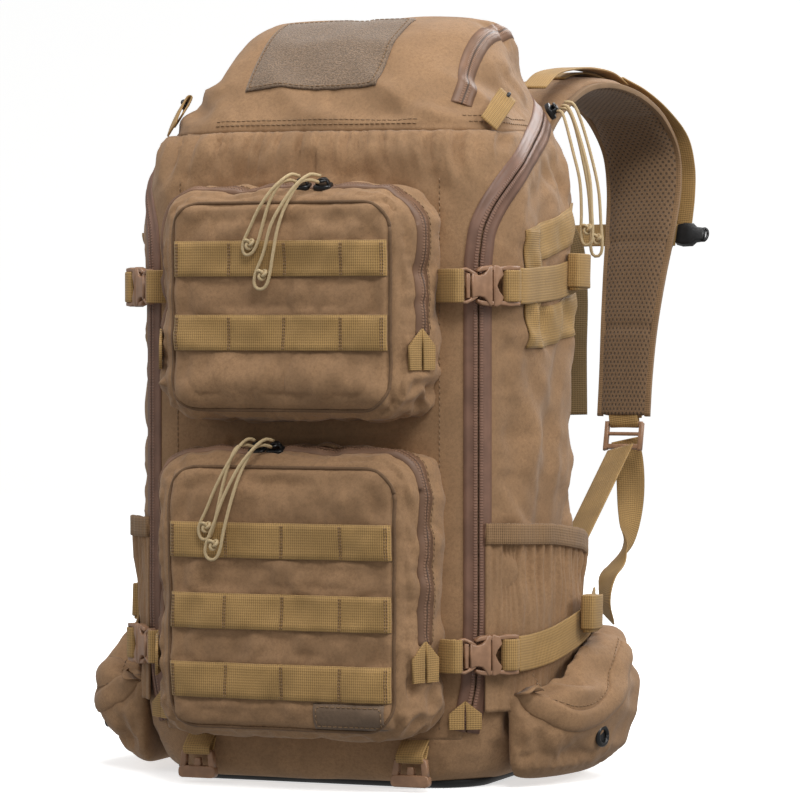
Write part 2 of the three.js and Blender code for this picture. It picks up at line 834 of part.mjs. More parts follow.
// The shoulder straps, with the webbing that adjusts them and lifts the load.
function addHarness() {
  const across = vector(1, 0, 0);
  for (const { name, sign } of SIDES) {
    const pad = paddedStrap(sampled(STRAP_LINE, 26), across, STRAP_WIDTH, STRAP_THICK);
    add(`shoulder_strap_${name}`, onSide(pad, sign), "mesh");
    const lifter = sampled(LIFTER_LINE, 14);
    const lifterStrap = strap(lifter, across, 20, WEBBING_THICK);
    add(`load_lifter_${name}`, onSide(lifterStrap, sign), "webbing");
    const lock = { left: -16, right: 16, low: -12, high: 12, radius: 4, from: -4, to: 4 };
    const lockForm = roundedSlab(lock);
    lockForm.rotateX(-0.28);
    lockForm.translate(...LADDER_LOCK);
    add(`ladder_lock_${name}`, onSide(lockForm, sign), "buckle");
    const [lockX, lockY, lockZ] = LADDER_LOCK;
    const adjuster = sampled(
      [
        [lockX, lockY - 9, lockZ - 9],
        [lockX + 1, lockY - 67, lockZ - 42],
        [lockX + 2, lockY - 137, lockZ - 82],
        [ADJUSTER_ANCHOR[0], ADJUSTER_ANCHOR[1] + 4, ADJUSTER_ANCHOR[2] + 2],
      ],
      12,
    );
    const adjusterStrap = strap(adjuster, vector(0.55, 0, 0.83), 24, WEBBING_THICK);
    add(`adjuster_webbing_${name}`, onSide(adjusterStrap, sign), "webbing");
  }
  const sternum = sampled(STERNUM_LINE, 16);
  add("sternum_strap", strap(sternum, vector(0, 0.42, 0.9), 20, WEBBING_THICK), "webbing");
  const clip = { left: 134.5, right: 158, low: 392, high: 412, radius: 4, from: 360, to: 368 };
  add("sternum_buckle", roundedSlab(clip), "slider");
}

addBag();
addBase();
addFrame();
addBack();
addPockets();
addRows();
addPatch();
addZips();
addCompressionBuckles();
addSideStraps();
addBottlePockets();
addWings();
addBaseBuckles();
addPocketSliders();
addMainSliders();
addCords();
addHarness();

export default group;
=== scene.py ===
import logging
import math
from dataclasses import dataclass, field
from enum import Enum
from typing import Callable, Optional, Sequence

import bmesh
import bpy
from mathutils import Matrix, Vector, noise
from mathutils.bvhtree import BVHTree


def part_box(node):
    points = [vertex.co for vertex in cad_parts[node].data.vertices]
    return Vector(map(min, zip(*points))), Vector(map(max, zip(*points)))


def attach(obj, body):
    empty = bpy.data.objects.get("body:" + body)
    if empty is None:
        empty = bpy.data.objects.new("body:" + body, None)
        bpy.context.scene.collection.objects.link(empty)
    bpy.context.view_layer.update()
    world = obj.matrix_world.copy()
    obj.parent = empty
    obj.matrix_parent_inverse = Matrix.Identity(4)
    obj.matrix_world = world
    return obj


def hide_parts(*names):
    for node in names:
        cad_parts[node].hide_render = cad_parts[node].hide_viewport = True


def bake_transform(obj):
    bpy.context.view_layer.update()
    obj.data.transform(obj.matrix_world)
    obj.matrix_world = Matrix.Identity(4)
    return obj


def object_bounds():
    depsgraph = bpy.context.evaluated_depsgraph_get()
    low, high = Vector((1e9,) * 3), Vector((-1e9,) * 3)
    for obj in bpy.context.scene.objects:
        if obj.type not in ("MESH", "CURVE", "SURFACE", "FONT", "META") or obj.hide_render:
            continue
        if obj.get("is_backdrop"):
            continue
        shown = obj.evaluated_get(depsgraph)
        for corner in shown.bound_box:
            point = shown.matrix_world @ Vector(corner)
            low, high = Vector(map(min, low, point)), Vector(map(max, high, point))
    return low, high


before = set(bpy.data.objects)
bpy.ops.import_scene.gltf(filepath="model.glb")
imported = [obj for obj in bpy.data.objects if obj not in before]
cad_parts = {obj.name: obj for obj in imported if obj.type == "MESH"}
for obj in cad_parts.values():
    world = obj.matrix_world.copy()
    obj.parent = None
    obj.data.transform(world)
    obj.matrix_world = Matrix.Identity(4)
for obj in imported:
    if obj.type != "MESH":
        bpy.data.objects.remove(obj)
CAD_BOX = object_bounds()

MM = 0.001
LOG = logging.getLogger("day_pack")
Point = Sequence[float]
ACROSS = Vector((1, 0, 0))
TO_WEARER = Vector((0, 1, 0))
OUT_FRONT = Vector((0, -1, 0))
UP = Vector((0, 0, 1))
DIAGONAL = math.sqrt(0.5)
BUCKLE_OFF = 7.9  # how far a compression buckle's middle is off the bag's front corner, in millimetres
STRAP_HEIGHTS = {"upper": 357, "lower": 97}  # the compression straps, in millimetres above the floor
STRAP_UV = "strap"


class Side(Enum):
    """The two sides of the pack, as seen by someone who looks at its front."""

    LEFT = -1
    RIGHT = 1

    @property
    def word(self) -> str:
        """The side's name as the bodies and nodes spell it."""
        return self.name.lower()

    def of(self, point: Point) -> Vector:
        """A right-hand point in millimetres, on this side and in metres."""
        return Vector((point[0] * self.value, point[1], point[2])) * MM

    def curve(self, corners: Sequence[Point], count: int) -> list[Vector]:
        """A smooth line through right-hand corners in millimetres, on this side and in metres."""
        return [self.of(p) for p in smooth_line(corners, count)]


# ---- lines and meshes ----------------------------------------------------


def even(points: Sequence[Vector], count: int) -> list[Vector]:
    """Spreads points evenly along a polyline.

    Args:
        points: the polyline's corners.
        count: how many points to give back.

    Returns:
        The evenly spaced points, first and last corner included.
    """
    reach = [0.0]
    for before, after in zip(points, points[1:]):
        reach.append(reach[-1] + (after - before).length)
    spread = []
    k = 0
    for i in range(count):
        target = reach[-1] * i / (count - 1)
        while k + 2 < len(points) and reach[k + 1] < target:
            k += 1
        step = reach[k + 1] - reach[k]
        share = 0.0 if step <= 0 else (target - reach[k]) / step
        spread.append(points[k].lerp(points[k + 1], min(max(share, 0.0), 1.0)))
    return spread


def smooth_line(points: Sequence[Point], count: int) -> list[Vector]:
    """A smooth curve through points, spread evenly.

    Args:
        points: the points that the curve passes.
        count: how many points to give back.

    Returns:
        Points on the curve, in the unit of the points given.
    """
    knots = [Vector(p) for p in points]
    line = [knots[0] * 2 - knots[1], *knots, knots[-1] * 2 - knots[-2]]
    fine = []
    pieces = 12
    for a, b, c, d in zip(line, line[1:], line[2:], line[3:]):
        for k in range(pieces):
            t = k / pieces
            bend = (a * -1 + b * 3 - c * 3 + d) * t**3
            fine.append((b * 2 + (c - a) * t + (a * 2 - b * 5 + c * 4 - d) * t**2 + bend) * 0.5)
    fine.append(knots[-1])
    return even(fine, count)


def directions(line: Sequence[Vector]) -> list[Vector]:
    """The unit direction of a line at each of its points."""
    last = len(line) - 1
    return [(line[min(i + 1, last)] - line[max(i - 1, 0)]).normalized() for i in range(last + 1)]


def length_of(line: Sequence[Vector]) -> float:
    """The length of a polyline."""
    return sum((b - a).length for a, b in zip(line, line[1:]))


def patch(columns: int, rows: int, place: Callable[[float, float], Vector],
          spot: Optional[Callable[[float, float], tuple[float, float]]] = None) -> bmesh.types.BMesh:
    """A grid of faces laid by a formula.

    Args:
        columns: faces across.
        rows: faces along.
        place: gives the position for shares (across, along), each from 0 to 1.
        spot: gives the strap map's coordinates for the same shares, in metres.

    Returns:
        The grid, with a strap map.
    """
    bm = bmesh.new()
    bmesh.ops.create_grid(bm, x_segments=columns, y_segments=rows, size=0.5)
    layer = bm.loops.layers.uv.new(STRAP_UV)
    shares = {v: (v.co.x + 0.5, v.co.y + 0.5) for v in bm.verts}
    for face in bm.faces:
        for loop in face.loops:
            loop[layer].uv = spot(*shares[loop.vert]) if spot else shares[loop.vert]
    for vert, (s, t) in shares.items():
        vert.co = place(s, t)
    return bm


def in_metres(corners: Sequence[tuple[float, float]]) -> list[tuple[float, float]]:
    """An outline drawn in millimetres, in metres."""
    return [(u * MM, v * MM) for u, v in corners]


def full_turn(steps: int) -> list[float]:
    """The angles of one full turn, first and last included."""
    return [math.tau * k / steps for k in range(steps + 1)]


def close_up(bm: bmesh.types.BMesh) -> bmesh.types.BMesh:
    """Welds a shell's doubled points, fills its open ends and turns its faces outwards.

    Args:
        bm: the mesh.

    Returns:
        The closed shell.
    """
    bmesh.ops.remove_doubles(bm, verts=bm.verts, dist=1e-6)
    bmesh.ops.holes_fill(bm, edges=[e for e in bm.edges if e.is_boundary], sides=0)
    bmesh.ops.recalc_face_normals(bm, faces=bm.faces)
    return bm


def swept(line: Sequence[Vector], sides: Sequence[Vector], outline: Sequence[tuple[float, float]],
          swell: Callable[[float], float] = lambda share: 1.0) -> bmesh.types.BMesh:
    """A closed bar that follows a line.

    Args:
        line: the centre line in metres.
        sides: the direction of the bar's width at each point.
        outline: the closed section as (across, out) in metres, anticlockwise.
        swell: scales the section at a share of the length.

    Returns:
        The closed bar; its strap map is (across, along) in metres.
    """
    along = directions(line)
    across = [(s - a * s.dot(a)).normalized() for s, a in zip(sides, along)]
    out = [a.cross(s) for a, s in zip(along, across)]
    count, last = len(outline), len(line) - 1
    total = length_of(line)

    def place(s: float, t: float) -> Vector:
        """The section's corner s at the line's point t.

        Args:
            s: share across.
            t: share along.

        Returns:
            The position in metres.
        """
        i = round(t * last)
        u, w = outline[round(s * count) % count]
        scale = swell(i / last)
        return line[i] + across[i] * (u * scale) + out[i] * (w * scale)

    def spot(s: float, t: float) -> tuple[float, float]:
        """How far across and along the bar a corner is."""
        return outline[round(s * count) % count][0], t * total

    return close_up(patch(count, last, place, spot))


def flat_outline(width: float, thick: float) -> list[tuple[float, float]]:
    """The section of flat webbing with rolled edges, in metres.

    Args:
        width: its width in metres.
        thick: its thickness in metres.

    Returns:
        The section as (across, out), anticlockwise.
    """
    half, deep = width / 2, thick / 2
    top = [(-0.96, 0.8), (-0.9, 1), (-0.45, 1), (0, 1), (0.45, 1), (0.9, 1), (0.96, 0.8), (1, 0)]
    low = [(-a, -h) for a, h in top]
    return [(a * half, h * deep) for a, h in top + low][::-1]


def round_outline(radius: float, corners: int = 10) -> list[tuple[float, float]]:
    """A round section, in metres."""
    return [(radius * math.cos(a), radius * math.sin(a)) for a in full_turn(corners)[:-1]]


def ribbon(line: Sequence[Vector], side: Vector, width: float, thick: float) -> bmesh.types.BMesh:
    """A length of flat webbing along a line, its width turned one way."""
    return swept(line, [side] * len(line), flat_outline(width, thick))


def tube(line: Sequence[Vector], radius: float, corners: int = 10) -> bmesh.types.BMesh:
    """A round cord along a line, with no twist in its map.

    Args:
        line: the centre line in metres.
        radius: its radius in metres.
        corners: corners in its section.

    Returns:
        The closed tube.
    """
    side = Vector((0.31, 0.17, 0.93))
    sides = []
    for along in directions(line):
        side = (side - along * side.dot(along)).normalized()
        sides.append(side)
    return swept(line, sides, round_outline(radius, corners))


def joined(parts: Sequence[bmesh.types.BMesh]) -> bmesh.types.BMesh:
    """Several meshes as one; the parts are used up.

    Args:
        parts: the meshes, used up.

    Returns:
        The whole mesh.
    """
    whole = bmesh.new()
    whole.loops.layers.uv.new(STRAP_UV)
    for part in parts:
        scratch = bpy.data.meshes.new("part")
        part.to_mesh(scratch)
        part.free()
        whole.from_mesh(scratch)
        bpy.data.meshes.remove(scratch)
    return whole


def plate(corners: Sequence[tuple[float, float]], thick: float, edge: float) -> bmesh.types.BMesh:
    """A moulded plate: an outline in its own plane, drawn out and with eased edges.

    Args:
        corners: the outline as (u, v) in metres, anticlockwise.
        thick: thickness along the third axis, centred.
        edge: radius of the eased edges.

    Returns:
        The closed plate.
    """
    bm = bmesh.new()
    ring = [bm.verts.new((u, v, -thick / 2)) for u, v in corners]
    face = bm.faces.new(ring)
    drawn = bmesh.ops.extrude_face_region(bm, geom=[face])
    lifted = [g for g in drawn["geom"] if isinstance(g, bmesh.types.BMVert)]
    bmesh.ops.translate(bm, verts=lifted, vec=(0, 0, thick))
    bmesh.ops.recalc_face_normals(bm, faces=bm.faces)
    rims = [e for e in bm.edges if abs(e.verts[0].co.z - e.verts[1].co.z) < thick / 2]
    bmesh.ops.bevel(bm, geom=rims, offset=edge, segments=3, profile=0.5, affect="EDGES", material=-1)
    return bm


def rounded(width: float, height: float, radius: float, steps: int = 5) -> list[tuple[float, float]]:
    """A rounded rectangle round the origin, anticlockwise.

    Args:
        width: its width.
        height: its height.
        radius: the corners' radius.
        steps: points in each corner, less one.

    Returns:
        The corners as (u, v).
    """
    corners = []
    for turn, (sx, sy) in enumerate(((1, 1), (-1, 1), (-1, -1), (1, -1))):
        for k in range(steps + 1):
            a = (turn + k / steps) * math.pi / 2
            u = sx * (width / 2 - radius) + radius * math.cos(a)
            corners.append((u, sy * (height / 2 - radius) + radius * math.sin(a)))
    return corners


def turned(bm: bmesh.types.BMesh, origin: Vector, u: Vector, v: Vector, w: Vector) -> bmesh.types.BMesh:
    """Moves a mesh from its own axes to a place whose axes are u, v and w.

    Args:
        bm: the mesh.
        origin: where its own origin goes.
        u: its first axis.
        v: its second axis.
        w: its third axis.

    Returns:
        The same mesh.
    """
    matrix = Matrix((u, v, w)).transposed().to_4x4()
    matrix.translation = origin
    bmesh.ops.transform(bm, matrix=matrix, verts=bm.verts)
    bmesh.ops.recalc_face_normals(bm, faces=bm.faces)
    return bm


def ridged(place: Vector, scale: Point, seed: float) -> float:
    """Fold noise from -1 to 1 with narrow crests, stretched along each axis by scale in millimetres."""
    spot = Vector([c / (s * MM) for c, s in zip(place, scale)]) + Vector((seed, seed * 0.7, -seed))
    return 1 - 3.2 * math.hypot(noise.noise(spot), 0.07)


def drawn_fold(place: Vector, lean: float, wide: float, long: float, seed: float) -> float:
    """Long tension folds from -1 to 1 that run up the sides at a lean.

    Args:
        place: the point in metres.
        lean: the folds' angle from upright in degrees, towards the back.
        wide: spacing of the folds in millimetres.
        long: how far a fold runs in millimetres.
        seed: picks another set of folds.

    Returns:
        The height.
    """
    turn = math.radians(lean)
    across = place.y * math.cos(turn) - place.z * math.sin(turn) + place.x * 0.8
    along = place.z * math.cos(turn) + place.y * math.sin(turn)
    bend = 0.35 * noise.noise(place / 0.11 + Vector((seed, 0, 0)))
    spot = Vector((across / (wide * MM) + bend, along / (long * MM), seed))
    return 1 - 3.4 * math.hypot(noise.noise(spot), 0.09)


def swells(place: Vector, scale: float, seed: float) -> float:
    """Soft noise from -1 to 1 at one size in millimetres."""
    return noise.noise(place / (scale * MM) + Vector((seed, -seed, seed * 0.3)))


def fade(value: float, start: float, end: float) -> float:
    """0 before start and 1 after end, smooth between them."""
    t = min(max((value - start) / (end - start), 0.0), 1.0)
    return t * t * (3 - 2 * t)


# ---- finishes ------------------------------------------------------------


class Number:
    """A number socket that takes part in Python sums; each sum adds a Math node."""

    def __init__(self, sheet: "NodeSheet", socket: bpy.types.NodeSocket) -> None:
        """Wraps a socket of a node sheet."""
        self.sheet = sheet
        self.socket = socket

    def _with(self, operation: str, *others: "Number | float") -> "Number":
        """The result of a Math node on this number and others.

        Args:
            operation: the Math node's operation.
            others: its other inputs.

        Returns:
            The result.
        """
        inputs = {0: self} | {i + 1: other for i, other in enumerate(others)}
        made = self.sheet.node("ShaderNodeMath", {"operation": operation}, inputs)
        return Number(self.sheet, made.outputs[0])

    def __add__(self, other: "Number | float") -> "Number":
        """Sum."""
        return self._with("ADD", other)

    def __radd__(self, other: float) -> "Number":
        """Sum with a plain number on the left."""
        return self._with("ADD", other)

    def __sub__(self, other: "Number | float") -> "Number":
        """Difference."""
        return self._with("SUBTRACT", other)

    def __rsub__(self, other: float) -> "Number":
        """A plain number less this one."""
        return (self * -1)._with("ADD", other)

    def __mul__(self, other: "Number | float") -> "Number":
        """Product."""
        return self._with("MULTIPLY", other)

    def __rmul__(self, other: float) -> "Number":
        """Product with a plain number on the left."""
        return self._with("MULTIPLY", other)

    def wave(self, size: float) -> "Number":
        """A wave from 0 to 1 that repeats every size."""
        return (self * (math.tau / size))._with("SINE") * 0.5 + 0.5

    def cell(self, size: float) -> "Number":
        """The distance from the middle of a cell, from 0 to 0.5, repeated every size."""
        return ((self * (1 / size))._with("FRACT") - 0.5)._with("ABSOLUTE")

    def step(self, low: float, high: float) -> "Number":
        """0 below low and 1 above high, smooth between them.

        Args:
            low: where it starts to rise.
            high: where it is full.

        Returns:
            The softened number.
        """
        settings = {"interpolation_type": "SMOOTHSTEP"}
        inputs = {"Value": self, "From Min": low, "From Max": high}
        return Number(self.sheet, self.sheet.node("ShaderNodeMapRange", settings, inputs).outputs[0])

    def power(self, exponent: float) -> "Number":
        """This number raised to an exponent."""
        return self._with("POWER", exponent)

    def least(self, other: "Number | float") -> "Number":
        """The smaller of two numbers."""
        return self._with("MINIMUM", other)

    def size(self) -> "Number":
        """This number without its sign."""
        return self._with("ABSOLUTE")


class NodeSheet:
    """One material's nodes, with its Principled shader."""

    def __init__(self, name: str) -> None:
        """Starts a material that holds one Principled shader.

        Args:
            name: its name.
        """
        self.material = bpy.data.materials.new(name)
        self.material.use_nodes = True
        self.tree = self.material.node_tree
        self.shader = self.tree.nodes["Principled BSDF"]

    def node(self, kind: str, settings: dict, inputs: dict) -> bpy.types.Node:
        """Adds any node.

        Args:
            kind: the node's type.
            settings: its properties, set first.
            inputs: values or links of its sockets, by name or number.

        Returns:
            The node.
        """
        made = self.tree.nodes.new(kind)
        for key, value in settings.items():
            setattr(made, key, value)
        for key, value in inputs.items():
            self.feed(made.inputs[key], value)
        return made

    def feed(self, socket: bpy.types.NodeSocket, value: object) -> None:
        """Links a socket, or sets its own value.

        Args:
            socket: the socket.
            value: a number, a colour or a link.
        """
        if isinstance(value, Number):
            self.tree.links.new(value.socket, socket)
        elif isinstance(value, bpy.types.NodeSocket):
            self.tree.links.new(value, socket)
        else:
            socket.default_value = value

    def object_place(self) -> bpy.types.NodeSocket:
        """Object coordinates, in metres."""
        return self.node("ShaderNodeTexCoord", {}, {}).outputs["Object"]

    def axes(self, place: bpy.types.NodeSocket) -> list[Number]:
        """The three numbers of a vector."""
        split = self.node("ShaderNodeSeparateXYZ", {}, {0: place})
        return [Number(self, socket) for socket in split.outputs]

    def strap_place(self) -> tuple[Number, Number]:
        """How far across and along a strap a point is, in metres."""
        across, along, _ = self.axes(self.node("ShaderNodeUVMap", {"uv_map": STRAP_UV}, {}).outputs[0])
        return across, along

    def noise(self, place: bpy.types.NodeSocket, size: float, detail: float = 2.0) -> Number:
        """Soft noise from 0 to 1 whose grain is about a size in millimetres."""
        inputs = {"Vector": place, "Scale": 1 / (size * MM), "Detail": detail}
        return Number(self, self.node("ShaderNodeTexNoise", {}, inputs).outputs[0])

    def blend(self, share: "Number | float", low: object, high: object) -> bpy.types.NodeSocket:
        """Two colours mixed by a share."""
        mixed = self.node("ShaderNodeMix", {"data_type": "RGBA"}, {0: share, 6: low, 7: high})
        return mixed.outputs[2]

    def relief(self, height: Number, depth: float, under: object = None) -> bpy.types.NodeSocket:
        """A Bump node that reads a height and stands depth metres proud.

        Args:
            height: the height that it reads.
            depth: how far it stands proud, in metres.
            under: a finer relief below it.

        Returns:
            The changed normal.
        """
        inputs = {"Height": height, "Distance": depth, "Strength": 1.0}
        if under is not None:
            inputs["Normal"] = under
        return self.node("ShaderNodeBump", {}, inputs).outputs[0]


def tint(red: int, green: int, blue: int, light: float = 1.0) -> tuple[float, float, float, float]:
    """A display colour from 0 to 255, as linear light, made lighter or darker."""
    linear = [((c / 255 + 0.055) / 1.055) ** 2.4 * light for c in (red, green, blue)]
    return (*linear, 1.0)


@dataclass(frozen=True)
class Finish:
    """A finish of the pack: its name, the record's slot and its colour."""

    name: str
    slot: str
    colour: tuple[int, int, int]
    rough: float = 0.8

    def material(self) -> bpy.types.Material:
        """The finish's material, made once.

        Returns:
            The material.
        """
        found = bpy.data.materials.get(self.name)
        if found:
            return found
        sheet = NodeSheet(self.name)
        sheet.shader.inputs["Roughness"].default_value = self.rough
        self.paint(sheet)
        return sheet.material

    def paint(self, sheet: NodeSheet) -> None:
        """Adds the finish's own nodes."""
        raise NotImplementedError


@dataclass(frozen=True)
class PackCloth(Finish):
    """Plain-woven nylon pack cloth: crossed threads, mottled dye, rubbed lighter in patches."""

    thread: float = 1.0
    depth: float = 0.16
    slack: float = 0.7

    def paint(self, sheet: NodeSheet) -> None:
        """Weave, mottling and slubs from Object coordinates.

        Args:
            sheet: the node sheet that is painted.
        """
        place = sheet.object_place()
        x, y, z = sheet.axes(place)
        over = (x + y * 0.83).wave(self.thread * MM)
        under = (z + y * 0.31).wave(self.thread * MM)
        weave = over * under + (1 - over) * (1 - under)
        grain = sheet.noise(place, 0.9, 3)
        fleck = sheet.noise(place, 2.4, 4)
        mottle = sheet.noise(place, 46, 4)
        rubbed = sheet.noise(place, 11, 3)
        broad = (1 - (sheet.noise(place, 52, 1) - 0.5).size() * 8).step(0.0, 1.0)
        dye = sheet.blend(mottle.step(0.3, 0.72), tint(*self.colour, 0.86), tint(*self.colour, 1.1))
        worn = sheet.blend(rubbed.step(0.45, 0.8) * 0.35, dye, tint(*self.colour, 1.42))
        worn = sheet.blend(fleck.step(0.42, 0.7) * 0.42, worn, tint(*self.colour, 0.6))
        colour = sheet.blend((weave * 0.5 + grain * 0.5).step(0.15, 0.62), tint(*self.colour, 0.62), worn)
        sheet.feed(sheet.shader.inputs["Base Color"], colour)
        sheet.feed(sheet.shader.inputs["Roughness"], self.rough + (rubbed - 0.5) * 0.16)
        fine = sheet.relief(weave * 0.55 + grain * 0.45, self.depth * MM)
        slack = sheet.relief(rubbed * 0.4 + broad * 0.6, self.slack * MM, fine)
        sheet.feed(sheet.shader.inputs["Normal"], slack)
        sheet.shader.inputs["Sheen Weight"].default_value = 0.12
        sheet.shader.inputs["Sheen Roughness"].default_value = 0.45
        sheet.shader.inputs["Specular IOR Level"].default_value = 0.3


@dataclass(frozen=True)
class RibbedWebbing(Finish):
    """Flat nylon webbing: ribs across, finer warp threads along, fluffed edges."""

    width: float = 25.4

    def paint(self, sheet: NodeSheet) -> None:
        """Ribs and threads from the strap map.

        Args:
            sheet: the node sheet that is painted.
        """
        across, along = sheet.strap_place()
        place = sheet.object_place()
        ribs = along.wave(1.55 * MM)
        warp = across.wave(1.9 * MM)
        fuzz = sheet.noise(place, 0.8, 3)
        age = sheet.noise(place, 24, 3)
        weave = ribs * 0.62 + warp * 0.38
        dye = sheet.blend(age.step(0.3, 0.7), tint(*self.colour, 0.88), tint(*self.colour, 1.1))
        colour = sheet.blend((weave * 0.7 + fuzz * 0.4).step(0.1, 0.75), tint(*self.colour, 0.5), dye)
        edge = across.size().step(self.width * 0.44 * MM, self.width * 0.5 * MM)
        colour = sheet.blend(edge * 0.3, colour, tint(*self.colour, 0.55))
        sheet.feed(sheet.shader.inputs["Base Color"], colour)
        sheet.feed(sheet.shader.inputs["Roughness"], self.rough - fuzz * 0.12)
        sheet.feed(sheet.shader.inputs["Normal"], sheet.relief(weave * 0.8 + fuzz * 0.2, 0.3 * MM))
        sheet.shader.inputs["Sheen Weight"].default_value = 0.1
        sheet.shader.inputs["Specular IOR Level"].default_value = 0.35


@dataclass(frozen=True)
class CoatedZip(Finish):
    """Coated zip tape: smooth skin over two rows of teeth that show through it."""

    teeth: tuple[float, float] = (0.7, 3.9)

    def paint(self, sheet: NodeSheet) -> None:
        """Teeth near the tape's inner edge, smooth film elsewhere.

        Args:
            sheet: the node sheet that is painted.
        """
        across, along = sheet.strap_place()
        place = sheet.object_place()
        inner, outer = self.teeth
        offset = across.size()
        past_gap = offset.step(inner * MM, (inner + 0.4) * MM)
        column = past_gap * (1 - offset.step((outer - 0.5) * MM, outer * MM))
        teeth = along.wave(2.1 * MM).step(0.2, 0.8) * column
        film = sheet.noise(place, 3.5, 3)
        scuff = sheet.noise(place, 18, 4)
        skin = sheet.blend(scuff.step(0.35, 0.7), tint(*self.colour, 0.85), tint(*self.colour, 1.15))
        toothed = sheet.blend(teeth * 0.5, skin, tint(*self.colour, 1.65))
        seam = 1 - offset.step(0.25 * MM, 0.8 * MM)
        gap = sheet.blend(seam * 0.85, toothed, tint(*self.colour, 0.22))
        sheet.feed(sheet.shader.inputs["Base Color"], gap)
        sheet.feed(sheet.shader.inputs["Roughness"], self.rough + (scuff - 0.5) * 0.2)
        sheet.feed(sheet.shader.inputs["Normal"], sheet.relief(teeth + film * 0.15, 0.45 * MM))
        sheet.shader.inputs["Coat Weight"].default_value = 0.05
        sheet.shader.inputs["Coat Roughness"].default_value = 0.4
        sheet.shader.inputs["Specular IOR Level"].default_value = 0.4


@dataclass(frozen=True)
class Moulded(Finish):
    """Injection-moulded plastic with a fine satin grain and light scuffs."""

    def paint(self, sheet: NodeSheet) -> None:
        """Grain and scuffs from Object coordinates.

        Args:
            sheet: the node sheet that is painted.
        """
        place = sheet.object_place()
        grain = sheet.noise(place, 0.7, 2)
        scuff = sheet.noise(place, 6, 5)
        colour = sheet.blend(scuff.step(0.35, 0.75), tint(*self.colour, 0.9), tint(*self.colour, 1.16))
        sheet.feed(sheet.shader.inputs["Base Color"], colour)
        sheet.feed(sheet.shader.inputs["Roughness"], self.rough + (scuff - 0.5) * 0.22)
        sheet.feed(sheet.shader.inputs["Normal"], sheet.relief(grain, 0.05 * MM))


@dataclass(frozen=True)
class SpacerMesh(Finish):
    """Knitted spacer mesh: rows of small open holes, each half a pitch off the last row."""

    pitch: float = 4.6

    def paint(self, sheet: NodeSheet) -> None:
        """Two crossed sets of holes from the strap map.

        Args:
            sheet: the node sheet that is painted.
        """
        across, along = sheet.strap_place()
        place = sheet.object_place()
        wide, tall = self.pitch * MM, self.pitch * 1.5 * MM

        def holes(shift: float) -> Number:
            """How far from the nearest hole of one set, in pitches.

            Args:
                shift: how far the set is shifted, in pitches.

            Returns:
                The distance.
            """
            u = (across + (shift * wide + 1)).cell(wide)
            v = (along + (shift * tall + 1)).cell(tall)
            return (u.power(2) + (v * 1.25).power(2)).power(0.5)

        open_share = 1 - holes(0.0).least(holes(0.5)).step(0.15, 0.26)
        yarn = sheet.noise(place, 0.8, 3)
        age = sheet.noise(place, 30, 3)
        knit = sheet.blend(yarn.step(0.25, 0.7), tint(*self.colour, 0.75), tint(*self.colour, 1.15))
        knit = sheet.blend(age * 0.35, knit, tint(*self.colour, 0.8))
        colour = sheet.blend(open_share * 0.7, knit, tint(*self.colour, 0.2))
        sheet.feed(sheet.shader.inputs["Base Color"], colour)
        sheet.feed(sheet.shader.inputs["Normal"], sheet.relief(yarn * 0.25 - open_share, 0.7 * MM))
        sheet.shader.inputs["Sheen Weight"].default_value = 0.15


@dataclass(frozen=True)
class Twine(Finish):
    """Braided cord: two sets of strands that cross as they go round it."""

    def paint(self, sheet: NodeSheet) -> None:
        """A diamond braid from Object coordinates along the cord's hang.

        Args:
            sheet: the node sheet that is painted.
        """
        place = sheet.object_place()
        x, y, z = sheet.axes(place)
        left = (z + x * 0.9 + y * 0.4).wave(1.7 * MM)
        right = (z - x * 0.9 - y * 0.4).wave(1.7 * MM)
        braid = left * right + (1 - left) * (1 - right)
        fuzz = sheet.noise(place, 0.7, 3)
        shade = (braid * 0.7 + fuzz * 0.3).step(0.1, 0.6)
        colour = sheet.blend(shade, tint(*self.colour, 0.55), tint(*self.colour, 1.08))
        sheet.feed(sheet.shader.inputs["Base Color"], colour)
        sheet.feed(sheet.shader.inputs["Normal"], sheet.relief(braid, 0.25 * MM))


@dataclass(frozen=True)
class LoopPile(Finish):
    """The loop half of a touch fastener: short tangled pile."""

    def paint(self, sheet: NodeSheet) -> None:
        """Tangled pile from two noises.

        Args:
            sheet: the node sheet that is painted.
        """
        place = sheet.object_place()
        pile = sheet.noise(place, 1.1, 6)
        tufts = sheet.noise(place, 3.2, 4)
        mottle = sheet.noise(place, 16, 3)
        colour = sheet.blend(pile.step(0.3, 0.7), tint(*self.colour, 0.5), tint(*self.colour, 1.3))
        colour = sheet.blend(mottle.step(0.35, 0.7) * 0.4, colour, tint(*self.colour, 0.72))
        sheet.feed(sheet.shader.inputs["Base Color"], colour)
        sheet.feed(sheet.shader.inputs["Normal"], sheet.relief(pile * 0.7 + tufts * 0.3, 1.1 * MM))
        sheet.shader.inputs["Sheen Weight"].default_value = 0.3


@dataclass(frozen=True)
class BareMetal(Finish):
    """Drawn aluminium with fine lines along it."""

    def paint(self, sheet: NodeSheet) -> None:
        """Brushed roughness.

        Args:
            sheet: the node sheet that is painted.
        """
        place = sheet.object_place()
        brush = sheet.noise(place, 2.0, 5)
        colour = sheet.blend(brush, tint(*self.colour, 0.85), tint(*self.colour))
        sheet.feed(sheet.shader.inputs["Base Color"], colour)
        sheet.feed(sheet.shader.inputs["Roughness"], self.rough + brush * 0.2)
        sheet.shader.inputs["Metallic"].default_value = 1.0


